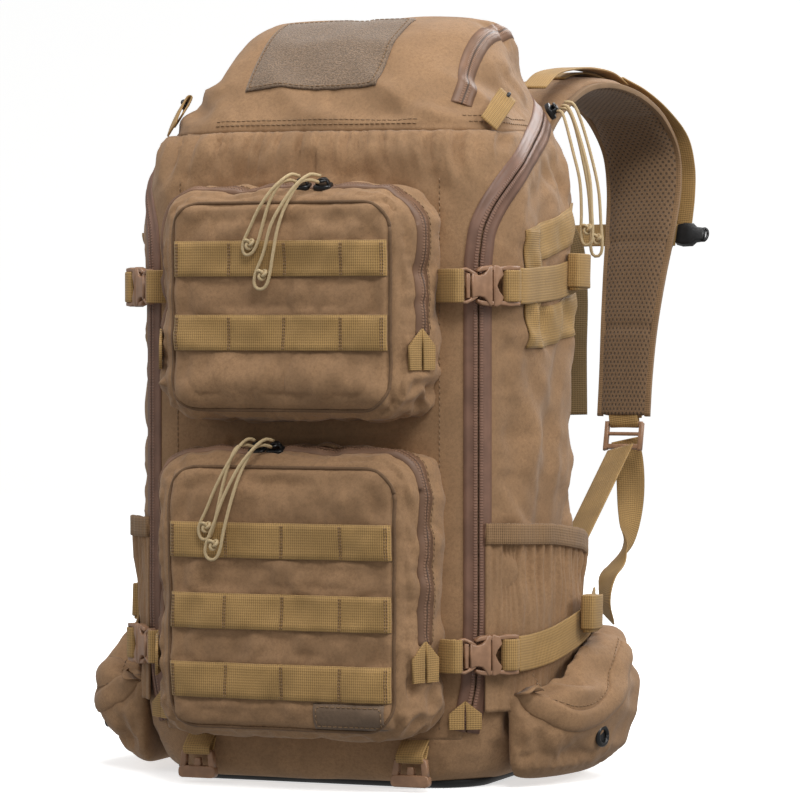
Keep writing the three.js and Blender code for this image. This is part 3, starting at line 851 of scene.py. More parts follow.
COYOTE = PackCloth("coyote_pack_cloth", "cordura", (163, 127, 92), 0.78)
# Real piping, in a cloth darker than the pack cloth: the darkening is painted shade for the shadow line along
# the pockets' edges.
PIPING_PAINTED_SHADE = PackCloth("coyote_piping", "cordura", (120, 92, 66), 0.82)
LINING = PackCloth("coyote_lining", "cordura", (96, 74, 54), 0.9)
BASE_CLOTH = PackCloth("coated_base_cloth", "base_fabric", (40, 38, 36), 0.55)
WEBBING = RibbedWebbing("tan_webbing", "webbing", (178, 141, 86), 0.74)
UNDER_WEBBING = RibbedWebbing("olive_webbing", "webbing", (116, 93, 56), 0.78)
ZIP_TAPE = CoatedZip("coated_zip", "zip_tape", (124, 92, 75), 0.5)
POCKET_ZIP = CoatedZip("pocket_zip", "zip_tape", (128, 96, 74), 0.5, (0.6, 3.0))
BINDING = RibbedWebbing("elastic_binding", "cordura", (148, 116, 82), 0.85, 16.0)
LABEL = PackCloth("label_cloth", "cordura", (126, 104, 84), 0.7, 0.7, 0.1)
TAN_PLASTIC = Moulded("tan_plastic", "buckle", (158, 120, 92), 0.34)
BLACK_PLASTIC = Moulded("moulded_black", "black_plastic", (24, 24, 25), 0.32)
MESH_KNIT = SpacerMesh("knitted_spacer", "spacer_mesh", (126, 98, 70), 0.9)
CREAM_CORD = Twine("cream_cord", "pull_cord", (204, 180, 138), 0.7)
PATCH_PILE = LoopPile("loop_pile", "loop_patch", (130, 107, 85), 0.95)
THREAD = Twine("bonded_thread", "cordura", (146, 115, 82), 0.6)
STAY_METAL = BareMetal("drawn_aluminium", "stay", (186, 188, 192), 0.3)
SHEET_PLASTIC = Moulded("frame_sheet_plastic", "frame_sheet", (34, 34, 34), 0.5)


# ---- pieces --------------------------------------------------------------


def as_piece(name: str, bm: bmesh.types.BMesh, finish: Finish, levels: int = 0,
             thick: float = 0.0) -> bpy.types.Object:
    """Makes a piece from a mesh.

    Args:
        name: the piece's name.
        bm: its mesh in metres, used up.
        finish: what it is made of.
        levels: how many times its faces are subdivided.
        thick: a sheet's thickness in millimetres, laid to its inner side.

    Returns:
        The new object, with its finish.
    """
    mesh = bpy.data.meshes.new(name)
    bm.to_mesh(mesh)
    bm.free()
    mesh.shade_smooth()
    made = bpy.data.objects.new(name, mesh)
    bpy.context.scene.collection.objects.link(made)
    made.data.materials.append(finish.material())
    if thick:
        wall = made.modifiers.new("wall", "SOLIDIFY")
        wall.thickness = thick * MM
        wall.offset = -1
    if levels:
        fine = made.modifiers.new("fine", "SUBSURF")
        fine.levels = levels
        fine.render_levels = levels
    return made


def place_on(piece: bpy.types.Object, body: str, *nodes: str) -> bpy.types.Object:
    """Makes a piece ride on a body in place of CAD nodes.

    Args:
        piece: the piece.
        body: the body that carries it.
        nodes: the CAD nodes that it stands for.

    Returns:
        The piece.
    """
    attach(piece, body)
    if nodes:
        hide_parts(*nodes)
    LOG.info("%s rides on %s, %d faces", piece.name, body, len(piece.data.polygons))
    return piece


class Skin:
    """The finished surface of a piece, for laying other pieces on."""

    def __init__(self, *pieces: bpy.types.Object) -> None:
        """Reads the surfaces as their modifiers leave them."""
        depsgraph = bpy.context.evaluated_depsgraph_get()
        self.trees = [BVHTree.FromObject(piece, depsgraph) for piece in pieces]

    def below(self, point: Vector, out: Vector, reach: float = 0.03) -> Vector:
        """The outermost point of the surface under a point, or the point itself where there is none.

        Args:
            point: a point near the surface, in metres.
            out: the outward direction.
            reach: how far out the search starts, in metres.

        Returns:
            The point on the surface.
        """
        best = None
        for tree in self.trees:
            hit = tree.ray_cast(point + out * reach, -out, 2 * reach)[0]
            if hit is not None and (best is None or (hit - best).dot(out) > 0):
                best = hit
        return point if best is None else best



def laid_strip(skin: Skin, line: Sequence[Vector], outs: Sequence[Vector],
               profile: Sequence[tuple[float, float]],
               lift: Callable[[float], float] = lambda along: 0.0) -> bmesh.types.BMesh:
    """A strip that lies on a surface along a line.

    Args:
        skin: the surface.
        line: the strip's centre line in metres, near the surface.
        outs: the outward direction at each point.
        profile: (across, height) in millimetres, from one edge to the other.
        lift: extra height in metres at a length along the strip.

    Returns:
        An open sheet whose strap map is (across, along) in metres.
    """
    along = directions(line)
    sides = [a.cross(o).normalized() for a, o in zip(along, outs)]
    columns, last = len(profile) - 1, len(line) - 1
    total = length_of(line)

    def place(s: float, t: float) -> Vector:
        """The profile's point s above the line's point t.

        Args:
            s: share across.
            t: share along.

        Returns:
            The position in metres.
        """
        i = round(t * last)
        across, height = profile[round(s * columns)]
        hit = skin.below(line[i] + sides[i] * (across * MM), outs[i])
        return hit + outs[i] * (height * MM + lift(t * total))

    def spot(s: float, t: float) -> tuple[float, float]:
        """How far across and along a point is."""
        return profile[round(s * columns)][0] * MM, t * total

    return patch(columns, last, place, spot)


def outwards(strip: bmesh.types.BMesh, out: Vector) -> bmesh.types.BMesh:
    """Turns an open sheet so that its faces look one way.

    Args:
        strip: the sheet.
        out: the outward direction.

    Returns:
        The same sheet.
    """
    bmesh.ops.recalc_face_normals(strip, faces=strip.faces)
    if sum(f.normal.dot(out) * f.calc_area() for f in strip.faces) < 0:
        bmesh.ops.reverse_faces(strip, faces=strip.faces)
    return strip


def flat_profile(width: float, height: float, columns: int = 6) -> list[tuple[float, float]]:
    """The profile of webbing sewn down: flat, with its edges turned to the cloth."""
    inner = [(-0.5 + k / columns) * width * 0.96 for k in range(columns + 1)]
    return [(-width / 2, height * 0.35), *[(a, height) for a in inner], (width / 2, height * 0.35)]


def smoothed(bm: bmesh.types.BMesh, factor: float) -> bmesh.types.BMesh:
    """Evens out a mesh's points once.

    Args:
        bm: the mesh.
        factor: how far each point moves towards its neighbours.

    Returns:
        The same mesh.
    """
    axes = {"use_axis_x": True, "use_axis_y": True, "use_axis_z": True}
    bmesh.ops.smooth_vert(bm, verts=bm.verts, factor=factor, **axes)
    return bm


def remeshed(bm: bmesh.types.BMesh, voxel: float, smooth: int = 3) -> bmesh.types.BMesh:
    """A closed mesh rebuilt from even faces.

    Args:
        bm: the closed mesh, used up.
        voxel: size of the faces in millimetres.
        smooth: rounds of smoothing afterwards.

    Returns:
        The rebuilt mesh.
    """
    scratch = bpy.data.meshes.new("scratch")
    bm.to_mesh(scratch)
    bm.free()
    holder = bpy.data.objects.new("scratch", scratch)
    bpy.context.scene.collection.objects.link(holder)
    rebuild = holder.modifiers.new("rebuild", "REMESH")
    rebuild.mode = "VOXEL"
    rebuild.voxel_size = voxel * MM
    depsgraph = bpy.context.evaluated_depsgraph_get()
    even_mesh = bmesh.new()
    even_mesh.from_mesh(holder.evaluated_get(depsgraph).to_mesh())
    bpy.data.objects.remove(holder)
    bpy.data.meshes.remove(scratch)
    for _ in range(smooth):
        smoothed(even_mesh, 0.5)
    return even_mesh


def copied(node: str) -> bmesh.types.BMesh:
    """A CAD node's solid as one welded mesh.

    Args:
        node: the CAD node's name.

    Returns:
        The welded mesh.
    """
    bm = bmesh.new()
    bm.from_mesh(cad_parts[node].data)
    bmesh.ops.remove_doubles(bm, verts=bm.verts, dist=1e-5)
    return bm


@dataclass(frozen=True)
class Stuffing:
    """How a soft piece is filled when it settles: pressure, spare cloth and how far it may move."""

    pressure: float = 4.0
    spare: float = 0.02
    cap: float = 6.0
    frames: int = 16

    def settle(self, bm: bmesh.types.BMesh, held: Callable[[Vector], float]) -> bmesh.types.BMesh:
        """Lets a closed cloth form settle by simulation.

        Args:
            bm: the form, used up where the simulation runs.
            held: how firmly a point is held, from 0 to 1.

        Returns:
            The settled form.
        """
        mesh = bpy.data.meshes.new("cloth")
        bm.to_mesh(mesh)
        piece = bpy.data.objects.new("cloth", mesh)
        bpy.context.scene.collection.objects.link(piece)
        pins = piece.vertex_groups.new(name="held")
        rest = [v.co.copy() for v in mesh.vertices]
        for i, co in enumerate(rest):
            pins.add([i], held(co), "REPLACE")
        cloth = piece.modifiers.new("cloth", "CLOTH")
        cloth.settings.vertex_group_mass = "held"
        cloth.settings.use_pressure = True
        cloth.settings.uniform_pressure_force = self.pressure
        cloth.settings.shrink_min = -self.spare
        cloth.settings.tension_stiffness = 25
        cloth.settings.bending_stiffness = 0.4
        cloth.settings.quality = 5
        cloth.settings.effector_weights.gravity = 0
        cloth.collision_settings.use_collision = False
        cloth.point_cache.frame_end = self.frames
        scene = bpy.context.scene
        for step in range(1, self.frames + 1):
            scene.frame_set(step)
        settled = piece.evaluated_get(bpy.context.evaluated_depsgraph_get()).data
        bm.verts.ensure_lookup_table()
        for vert, start, moved in zip(bm.verts, rest, [v.co.copy() for v in settled.vertices]):
            shift = moved - start
            if shift.length > self.cap * MM:
                shift = shift.normalized() * (self.cap * MM)
            vert.co = start + shift
        bpy.data.objects.remove(piece)
        bpy.data.meshes.remove(mesh)
        scene.frame_set(1)
        return smoothed(bm, 0.3)


def divided(bm: bmesh.types.BMesh) -> bmesh.types.BMesh:
    """Splits each face in four and rounds the result off."""
    bmesh.ops.subdivide_edges(bm, edges=bm.edges, cuts=1, use_grid_fill=True, smooth=0.4)
    return smoothed(bm, 0.4)


def pushed(bm: bmesh.types.BMesh, height: Callable[[Vector, Vector], float]) -> bmesh.types.BMesh:
    """Moves each point along its normal by a height in millimetres.

    Args:
        bm: the mesh.
        height: gives the height for (point, normal).

    Returns:
        The same mesh.
    """
    bm.normal_update()
    moves = [(v, v.normal * (height(v.co, v.normal) * MM)) for v in bm.verts]
    for vert, move in moves:
        vert.co += move
    return bm


# ---- studio --------------------------------------------------------------


@dataclass
class Studio:
    """The camera, the soft lights and the pale floor."""

    azimuth: float = 21.0
    elevation: float = 1.2
    distance: float = 2.85
    aim: Point = (29, 11, 274)
    lens: float = 174.0
    lamps: tuple = (
        ("key", (1.2, -1.7, 2.5), 1.0, 40), ("side", (2.4, 0.1, 1.5), 1.0, 26),
        ("left", (-2.2, -1.2, 1.6), 1.0, 10), ("back", (0.4, 2.4, 1.9), 1.4, 34),
        ("top", (-0.2, -0.3, 2.8), 1.0, 26),
    )
    floor_glow: float = 0.62
    sky: float = 0.36

    def build(self) -> None:
        """Places the camera first, then the floor and the lights."""
        self.add_camera()
        self.add_floor()
        self.add_sky()
        for name, place, size, power in self.lamps:
            self.add_light(name, place, size, power)

    def add_camera(self) -> None:
        """A long lens at eye level, a little to the right of the front."""
        data = bpy.data.cameras.new("camera")
        data.lens = self.lens
        camera = bpy.data.objects.new("camera", data)
        bpy.context.scene.collection.objects.link(camera)
        turn, rise = math.radians(self.azimuth), math.radians(self.elevation)
        back = Vector((math.sin(turn) * math.cos(rise), -math.cos(turn) * math.cos(rise), math.sin(rise)))
        camera.location = Vector(self.aim) * MM + back * self.distance
        camera.rotation_euler = back.to_track_quat("Z", "Y").to_euler()
        bpy.context.scene.camera = camera

    def add_floor(self) -> None:
        """A pale floor that runs up into a pale wall."""
        bm = patch(4, 24, lambda s, t: Vector(((s - 0.5) * 14, -5 + 12 * t, 4 * max(t - 0.75, 0) ** 2 * 16)))
        mesh = bpy.data.meshes.new("floor")
        bm.to_mesh(mesh)
        bm.free()
        mesh.shade_smooth()
        floor = bpy.data.objects.new("floor", mesh)
        bpy.context.scene.collection.objects.link(floor)
        sheet = NodeSheet("floor_paper")
        sheet.shader.inputs["Base Color"].default_value = (0.86, 0.86, 0.85, 1)
        sheet.shader.inputs["Emission Color"].default_value = (1, 1, 1, 1)
        sheet.shader.inputs["Emission Strength"].default_value = self.floor_glow
        sheet.shader.inputs["Roughness"].default_value = 0.9
        mesh.materials.append(sheet.material)
        floor.visible_diffuse = False
        floor.visible_glossy = False
        floor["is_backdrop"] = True

    def add_sky(self) -> None:
        """Even white light from all round."""
        world = bpy.data.worlds.new("studio")
        bpy.context.scene.world = world
        world.use_nodes = True
        background = world.node_tree.nodes["Background"]
        background.inputs["Color"].default_value = (1.0, 1.0, 1.0, 1)
        background.inputs["Strength"].default_value = self.sky
        bpy.context.scene.view_settings.view_transform = "Standard"

    def add_light(self, name: str, place: Point, size: float, power: float) -> None:
        """A square soft light that faces the pack.

        Args:
            name: its name.
            place: where it stands, in metres.
            size: its side in metres.
            power: its power in watts.
        """
        data = bpy.data.lights.new(name, "AREA")
        data.size = size
        data.energy = power
        lamp = bpy.data.objects.new(name, data)
        bpy.context.scene.collection.objects.link(lamp)
        lamp.location = Vector(place)
        lamp.rotation_euler = (Vector(place) - Vector((0, 0, 0.28))).to_track_quat("Z", "Y").to_euler()


# ---- cords ---------------------------------------------------------------

CORD_ROUTES: dict[str, list[Point]] = {
    "upper_cord_left": [
        (9, -138, 429.5), (6, -145, 431), (1, -151, 428), (-5, -155, 416),
        (-9, -156.5, 402), (-13, -157, 388), (-17.5, -157, 380), (-23, -157, 379),
        (-24.5, -157, 386), (-19, -157, 398), (-13, -157, 410), (-5, -155.5, 422),
        (2, -152, 430), (7, -145, 435), (10.5, -138, 434),
    ],
    "upper_cord_right": [
        (25, -138, 429.5), (21, -145, 431), (15, -151, 428), (7, -156, 412),
        (2, -158, 396), (-1, -159, 378), (-4, -159, 362), (-8, -159, 355),
        (-14, -159, 356), (-14.5, -159, 364), (-8, -159, 380), (-3, -159, 398),
        (4, -157.5, 412), (13, -153.5, 426), (21, -146, 434.5), (26.5, -138, 434),
    ],
    "lower_cord_left": [
        (-25, -138, 243.5), (-28, -145, 245), (-33, -151, 242), (-38, -155.5, 226),
        (-42, -157.5, 208), (-46, -158, 190), (-50, -158, 180), (-56, -158, 179),
        (-58, -158, 187), (-52, -158, 200), (-45, -157.5, 216), (-37, -155, 232),
        (-30, -151, 244), (-26, -145, 249), (-23.5, -138, 248),
    ],
    "lower_cord_right": [
        (-11, -138, 243.5), (-14, -145, 245), (-19, -152, 242), (-26, -158, 226),
        (-32, -161, 206), (-37, -162, 186), (-40, -162, 172), (-44, -162, 165),
        (-50, -162, 166), (-51, -162, 174), (-44, -162, 192), (-37, -161.5, 210),
        (-27, -158.5, 230), (-17, -153, 244), (-12.5, -145, 249), (-9.5, -138, 248),
    ],
    "main_cord_front": [
        (129, 77, 488), (133, 75, 487), (137, 73, 478), (143, 71, 458),
        (149, 69, 436), (151, 67, 414), (151, 66, 396), (153, 66, 389),
        (158, 66, 389), (160, 66, 396), (159, 67, 414), (157, 69, 436),
        (151, 72, 458), (143, 75, 480), (137, 77, 491), (132, 78, 492),
    ],
    "main_cord_rear": [
        (129, 83, 490), (134, 84, 490), (139, 85, 480), (145, 86, 456),
        (150, 86, 430), (152, 86, 404), (152, 86, 388), (154, 86, 381),
        (159, 86, 381), (161, 86, 388), (160, 86, 404), (158, 86, 430),
        (152, 86, 456), (144, 86, 482), (138, 86, 494), (132, 84, 495),
    ],
}


@dataclass
class PullCords:
    """The six zip pulls: a loop of braided cord from each slider's eye, tied in a knot at its foot."""

    diameter: float = 2.4
    points: int = 90
    knot_size: float = 1.25
    bodies: dict = field(default_factory=lambda: {
        "upper_cord_left": "upper_slider_left",
        "upper_cord_right": "upper_slider_right",
        "lower_cord_left": "lower_slider_left",
        "lower_cord_right": "lower_slider_right",
        "main_cord_front": "main_slider_right",
        "main_cord_rear": "main_slider_right",
    })

    def build(self) -> None:
        for name, route in CORD_ROUTES.items():
            line = [p * MM for p in smooth_line(route, self.points)]
            radius = self.diameter * MM / 2
            cord = as_piece(f"{name}_loop", tube(line, radius), CREAM_CORD)
            place_on(cord, self.bodies[name], name)
            knot = as_piece(f"{name}_knot", self.knot(line), CREAM_CORD)
            place_on(knot, self.bodies[name])
            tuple(line[0])
            length_of(line)

    def knot(self, line: Sequence[Vector]) -> bmesh.types.BMesh:
        """An overhand knot round the two legs of the loop, just above its turn.

        Args:
            line: the centre line in metres.

        Returns:
            The knot.
        """
        low = min(range(len(line)), key=lambda i: line[i].z)
        middle = (line[low - 5] + line[low + 5]) / 2 + UP * 0.002
        size = self.knot_size * MM
        turns = []
        steps = 40
        for k in range(steps + 1):
            a = math.tau * k / steps
            x = (math.sin(a) + 2 * math.sin(2 * a)) * size
            y = -math.sin(3 * a) * size * 1.1
            turns.append(middle + Vector((x, y, (math.cos(a) - 2 * math.cos(2 * a)) * size)))
        return tube(turns, self.diameter * MM * 0.48, 8)


# ---- the bag -------------------------------------------------------------


@dataclass
class BagShell:
    """The padded bag: the rear bag, the front panel and the lid, split by the main zips and the lid seam.

    Each level is (height, half width, front edge, back edge, back corner radius).
    """

    front_corner: float = 60
    levels: tuple = (
        (4, 124, -86, 86, 50), (14, 134, -93, 95, 60), (40, 141, -98, 101, 68), (75, 146, -100, 103, 70),
        (120, 148, -100, 105, 70), (180, 148, -100, 105, 69), (240, 148, -100, 106, 69),
        (300, 148, -100, 106, 68), (350, 148, -100, 106, 68), (385, 148, -100, 106, 66),
        (410, 147, -99, 106, 63), (432, 145, -97, 106, 57), (456, 138, -91, 106, 46), (477, 126, -80, 105, 42),
        (499, 111, -60, 103, 40), (520, 104, -38, 100, 36), (535, 99, -20, 97, 32), (545, 93, 4, 92, 28),
        (551, 84, 30, 84, 24),
    )
    zip_line: tuple = (
        (-87, 38), (-87, 110), (-87, 180), (-87, 240), (-87, 300), (-87, 340), (-87, 365), (-86, 384),
        (-83, 400), (-75, 416), (-60, 432), (-36, 446), (-6, 458), (32, 471), (68, 485), (105, 500),
    )
    crown: float = 57
    flap_bottom: float = 38
    lid_seam: float = 470
    panel_seam: float = 97
    columns: tuple = (14, 16, 13, 16, 15)
    rows: int = 112
    wall: float = 3.0
    stuffing: Stuffing = Stuffing(pressure=3.5, spare=0.03, cap=5.0, frames=16)

    def level_at(self, z: float) -> Vector:
        """The level at a height, between the ones that are given.

        Args:
            z: the height in millimetres.

        Returns:
            The level.
        """
        above = next((i for i, level in enumerate(self.levels) if level[0] >= z), len(self.levels) - 1)
        low, high = Vector(self.levels[max(above - 1, 0)]), Vector(self.levels[above])
        span = high[0] - low[0]
        return high if span <= 0 else low + (high - low) * ((z - low[0]) / span)

    def zip_y(self, z: float) -> float:
        """How far back the main zip is at a height.

        Args:
            z: the height in millimetres.

        Returns:
            The depth in millimetres.
        """
        for (y0, z0), (y1, z1) in zip(self.zip_line, self.zip_line[1:]):
            if z <= z1:
                return y0 + (y1 - y0) * (z - z0) / (z1 - z0)
        return 400.0

    def off_zip(self, y: float, z: float) -> float:
        """How far a place on the side is from the main zip, in millimetres.

        Args:
            y: the depth in millimetres.
            z: the height in millimetres.

        Returns:
            The distance in millimetres.
        """
        spot = Vector((y, z))
        best = 1000.0
        for low, high in zip(self.zip_line, self.zip_line[1:]):
            start, run = Vector(low), Vector(high) - Vector(low)
            share = min(max((spot - start).dot(run) / run.length_squared, 0.0), 1.0)
            best = min(best, (start + run * share - spot).length)
        return best

    def half_outline(self, level: Vector) -> list[Vector]:
        """The right half of the outline at a level, from mid back to mid front.

        Args:
            level: height, half width, front edge, back edge and back corner radius, in millimetres.

        Returns:
            The points, in millimetres.
        """
        z, half, front, back, corner = level
        rear = min(corner, (back - front) / 2 - 1)
        fore = min(self.front_corner, (back - front) / 2 - 1)
        back_run, rear_arc, side_run, fore_arc, front_run = self.columns
        points = [Vector(((half - rear) * k / back_run, back, z)) for k in range(back_run)]
        for k in range(rear_arc):
            a = math.pi / 2 * (1 - k / rear_arc)
            points.append(Vector((half - rear + rear * math.cos(a), back - rear + rear * math.sin(a), z)))
        low, high = front + fore, back - rear
        points += [Vector((half, high + (low - high) * k / side_run, z)) for k in range(side_run)]
        for k in range(fore_arc):
            a = -math.pi / 2 * k / fore_arc
            points.append(Vector((half - fore + fore * math.cos(a), low + fore * math.sin(a), z)))
        points += [Vector(((half - fore) * (1 - k / front_run), front, z)) for k in range(front_run + 1)]
        return points

    def ring(self, level: Vector, scale: float = 1.0, rise: float = 0.0) -> list[Vector]:
        """The whole outline at a level, drawn in towards its middle by a scale.

        Args:
            level: the level.
            scale: how far it is drawn in.
            rise: how far it is lifted, in millimetres.

        Returns:
            The points in metres.
        """
        right = self.half_outline(level)
        left = [Vector((-p.x, p.y, p.z)) for p in reversed(right)][1:]
        middle = Vector((0, (level[2] + level[3]) / 2, level[0]))
        return [(middle + (p - middle) * scale + UP * rise) * MM for p in right + left]

    def form(self) -> bmesh.types.BMesh:
        """The closed form, with each face marked as rear bag 0, front panel 1 or lid 2.

        Returns:
            The closed form.
        """
        walls = smooth_line(self.levels, self.rows)
        cap = 12
        rings = [self.ring(walls[0], max(k / 5, 1e-4)) for k in range(5)]
        rings += [self.ring(level) for level in walls]
        rings += [self.ring(walls[-1], max(1 - k / cap, 1e-4), 3.5 * (1 - (1 - k / cap) ** 2))
                  for k in range(1, cap + 1)]
        around, last = len(rings[0]) - 1, len(rings) - 1
        bm = patch(around, last, lambda s, t: rings[round(t * last)][round(s * around)])
        bmesh.ops.remove_doubles(bm, verts=bm.verts, dist=3e-5)
        bmesh.ops.recalc_face_normals(bm, faces=bm.faces)
        mark = bm.faces.layers.int.new("part")
        for face in bm.faces:
            middle = face.calc_center_median() / MM
            ahead = middle.z > self.flap_bottom and middle.y < self.zip_y(middle.z)
            face[mark] = (2 if middle.z > self.lid_seam else 1) if ahead else 0
        return bm

    def held(self, place: Vector) -> float:
        """Where the cloth is sewn down or backed, so that it keeps its place.

        Args:
            place: a point in metres.

        Returns:
            How firmly the point is held, from 0 to 1.
        """
        x, y, z = place / MM
        if z < 22 or abs(z - self.lid_seam) < 5 or (abs(x) > 60 and self.off_zip(y, z) < 13):
            return 1.0
        if z > 545 and math.hypot(x, y - self.crown) < 16:
            return 1.0
        if y > 96 and z < 500:
            return 1.0
        if y < -90 and abs(x) < 104 and z < 430:
            return 0.96
        if abs(x) > 108 and y < -40 and min(abs(z - 357), abs(z - 97)) < 26:
            return 1.0
        if abs(x) > 100 and y > 50 and z > 370:
            return 1.0
        return 0.0

    def creases(self, place: Vector, normal: Vector) -> float:
        """Folds, gathers and sewn-in grooves, in millimetres.

        Args:
            place: a point in metres.
            normal: the outward direction there; not used.

        Returns:
            The height in millimetres.
        """
        x, y, z = place / MM
        height = 1.3 * swells(place, 80, 1.7) + 0.6 * swells(place, 36, 9.1)
        clear = fade(self.off_zip(y, z), 9, 26) if abs(x) > 60 else 1.0
        if z > 545:
            clear *= fade(math.hypot(x, y - self.crown), 6, 30)
        if y < self.zip_y(z):
            height += self.flap_folds(place, x, z)
            seam = math.exp(-((abs(x) - self.panel_seam) / 2.2) ** 2) * (1 - fade(z, 440, 462))
            height -= 1.9 * seam + 2.2 * math.exp(-((z - self.lid_seam) / 2.6) ** 2)
        else:
            free = fade(z, 20, 60) * (1 - fade(y, 82, 98))
            height += free * 3.0 * drawn_fold(place, 24, 30, 150, 7.7)
            crossed = fade(swells(place, 90, 4.0), -0.3, 0.3)
            height += free * 2.2 * drawn_fold(place, -38, 26, 110, 2.4) * crossed
            height += free * 0.8 * ridged(place, (40, 26, 20), 5.5) * fade(swells(place, 60, 3.0), 0.0, 0.35)
            height -= 2.2 * free
        if y > 98 and z < 480:
            height *= 0.3
        return height * clear

    def flap_folds(self, place: Vector, x: float, z: float) -> float:
        """The gathers under the lid seam, the lid's slack and the folds of the front panel.

        Args:
            place: a point in metres.
            x: the place across in millimetres.
            z: the height in millimetres.

        Returns:
            The height in millimetres.
        """
        below = fade(z, 424, 458) * (1 - fade(z, 464, 471))
        fan = Vector((place.z * x * 0.006, 0, 0))
        height = 4.4 * below * ridged(place + fan, (24, 60, 120), 3.3)
        above = fade(z, 471, 482) * (1 - fade(z, 496, 540))
        height += 3.0 * above * ridged(place + Vector((place.z * 0.9, 0, 0)), (40, 60, 60), 5.2)
        front = fade(z, 44, 60) * (1 - fade(z, 425, 440))
        height += 1.5 * front * ridged(place, (26, 60, 120), 1.3)
        between = math.exp(-((z - 253) / 14) ** 2)
        return height + 2.4 * between * ridged(place, (90, 40, 13), 8.1)

    def build(self) -> Skin:
        """Makes the three shells.

        Returns:
            The bag's finished surface.
        """
        whole = self.stuffing.settle(self.form(), self.held)
        whole = pushed(divided(whole), self.creases)
        pieces = []
        shells = (("bag_body", "pack", "main_bag"), ("front_face", "flap", "front_panel"),
                  ("lid_cap", "flap", "lid"))
        for part, (name, body, node) in enumerate(shells):
            shell = whole.copy()
            mark = shell.faces.layers.int["part"]
            bmesh.ops.delete(shell, geom=[f for f in shell.faces if f[mark] != part], context="FACES")
            made = as_piece(name, shell, COYOTE, thick=self.wall)
            pieces.append(place_on(made, body, node))
        whole.free()
        return Skin(*pieces)

    def side_point(self, side: Side, y: float, z: float) -> tuple[Vector, Vector]:
        """A place on the bag's side wall, with the outward direction there, in metres.

        Args:
            side: the side of the pack.
            y: the depth in millimetres.
            z: the height in millimetres.

        Returns:
            The place and the outward direction.
        """
        _, half, front, back, corner = self.level_at(z)
        rear = min(corner, (back - front) / 2 - 1)
        fore = self.front_corner
        out = ACROSS
        x = half
        if y < front + fore:
            drop = max(min((front + fore - y) / fore, 1.0), 0.0)
            x = half - fore + fore * math.sqrt(1 - drop * drop)
            out = Vector((math.sqrt(1 - drop * drop), -drop, 0))
        elif y > back - rear:
            drop = max(min((y - back + rear) / rear, 1.0), 0.0)
            x = half - rear + rear * math.sqrt(1 - drop * drop)
            out = Vector((math.sqrt(1 - drop * drop), drop, 0))
        slope = (self.level_at(z + 3)[1] - self.level_at(z - 3)[1]) / 6
        out = (out + UP * (-slope)).normalized()
        return side.of((x, y, z)), Vector((out.x * side.value, out.y, out.z))

    def corner_place(self, side: Side, z: float, off: float = BUCKLE_OFF) -> Vector:
        """A place off the front corner, where the buckles sit.

        Args:
            side: the side of the pack.
            z: the height in millimetres.
            off: how far off the corner, in millimetres.

        Returns:
            The place in metres.
        """
        _, half, front, _, _ = self.level_at(z)
        reach = (self.front_corner + off) * DIAGONAL
        return side.of((half - self.front_corner + reach, front + self.front_corner - reach, z))

    def corner_axes(self, side: Side) -> tuple[Vector, Vector]:
        """Towards the back along a strap at the front corner, and away from the bag there."""
        return Vector((DIAGONAL * side.value, DIAGONAL, 0)), Vector((DIAGONAL * side.value, -DIAGONAL, 0))


@dataclass
class MainZips:
    """The two long coated zips: half of each tape is on the rear bag and half on the flap."""

    bag: BagShell
    half_width: float = 10.5
    start: float = 42
    teeth: tuple = ((0.25, 0.9), (0.7, 1.9), (2.3, 2.2), (3.9, 1.7), (4.6, 1.1), (7.5, 1.0), (10.5, 0.7))

    def line(self, side: Side) -> tuple[list[Vector], list[Vector]]:
        """The zip's centre line up the front, over the shoulder and across the top of the back.

        Args:
            side: the side of the pack.

        Returns:
            The points in metres, and the outward directions.
        """
        corners = [Vector((y, z, 0)) for y, z in ((-87, self.start), *self.bag.zip_line[1:])]
        points, outs = [], []
        for corner in smooth_line(corners, 150):
            place, out = self.bag.side_point(side, corner.x, corner.y)
            points.append(place)
            outs.append(out)
        last = points[-1]
        for k in range(1, 14):
            points.append(Vector((last.x * (1 - k / 18), last.y, last.z)))
            outs.append(Vector((0, 0.97, 0.24)))
        return points, outs

    def build(self, skin: Skin) -> None:
        """Lays both halves of both tapes.

        Args:
            skin: the surface that it is sewn to.
        """
        for side in Side:
            points, outs = self.line(side)
            for name, body, turn in (("rear", "pack", side.value), ("front", "flap", -side.value)):
                profile = [(a * turn, h) for a, h in self.teeth]
                if turn < 0:
                    profile.reverse()
                strip = outwards(laid_strip(skin, points, outs, profile), outs[40])
                tape = as_piece(f"zip_tape_{name}_{side.word}", strip, ZIP_TAPE, thick=1.0)
                place_on(tape, body, *([f"main_zip_{side.word}"] if name == "rear" else []))


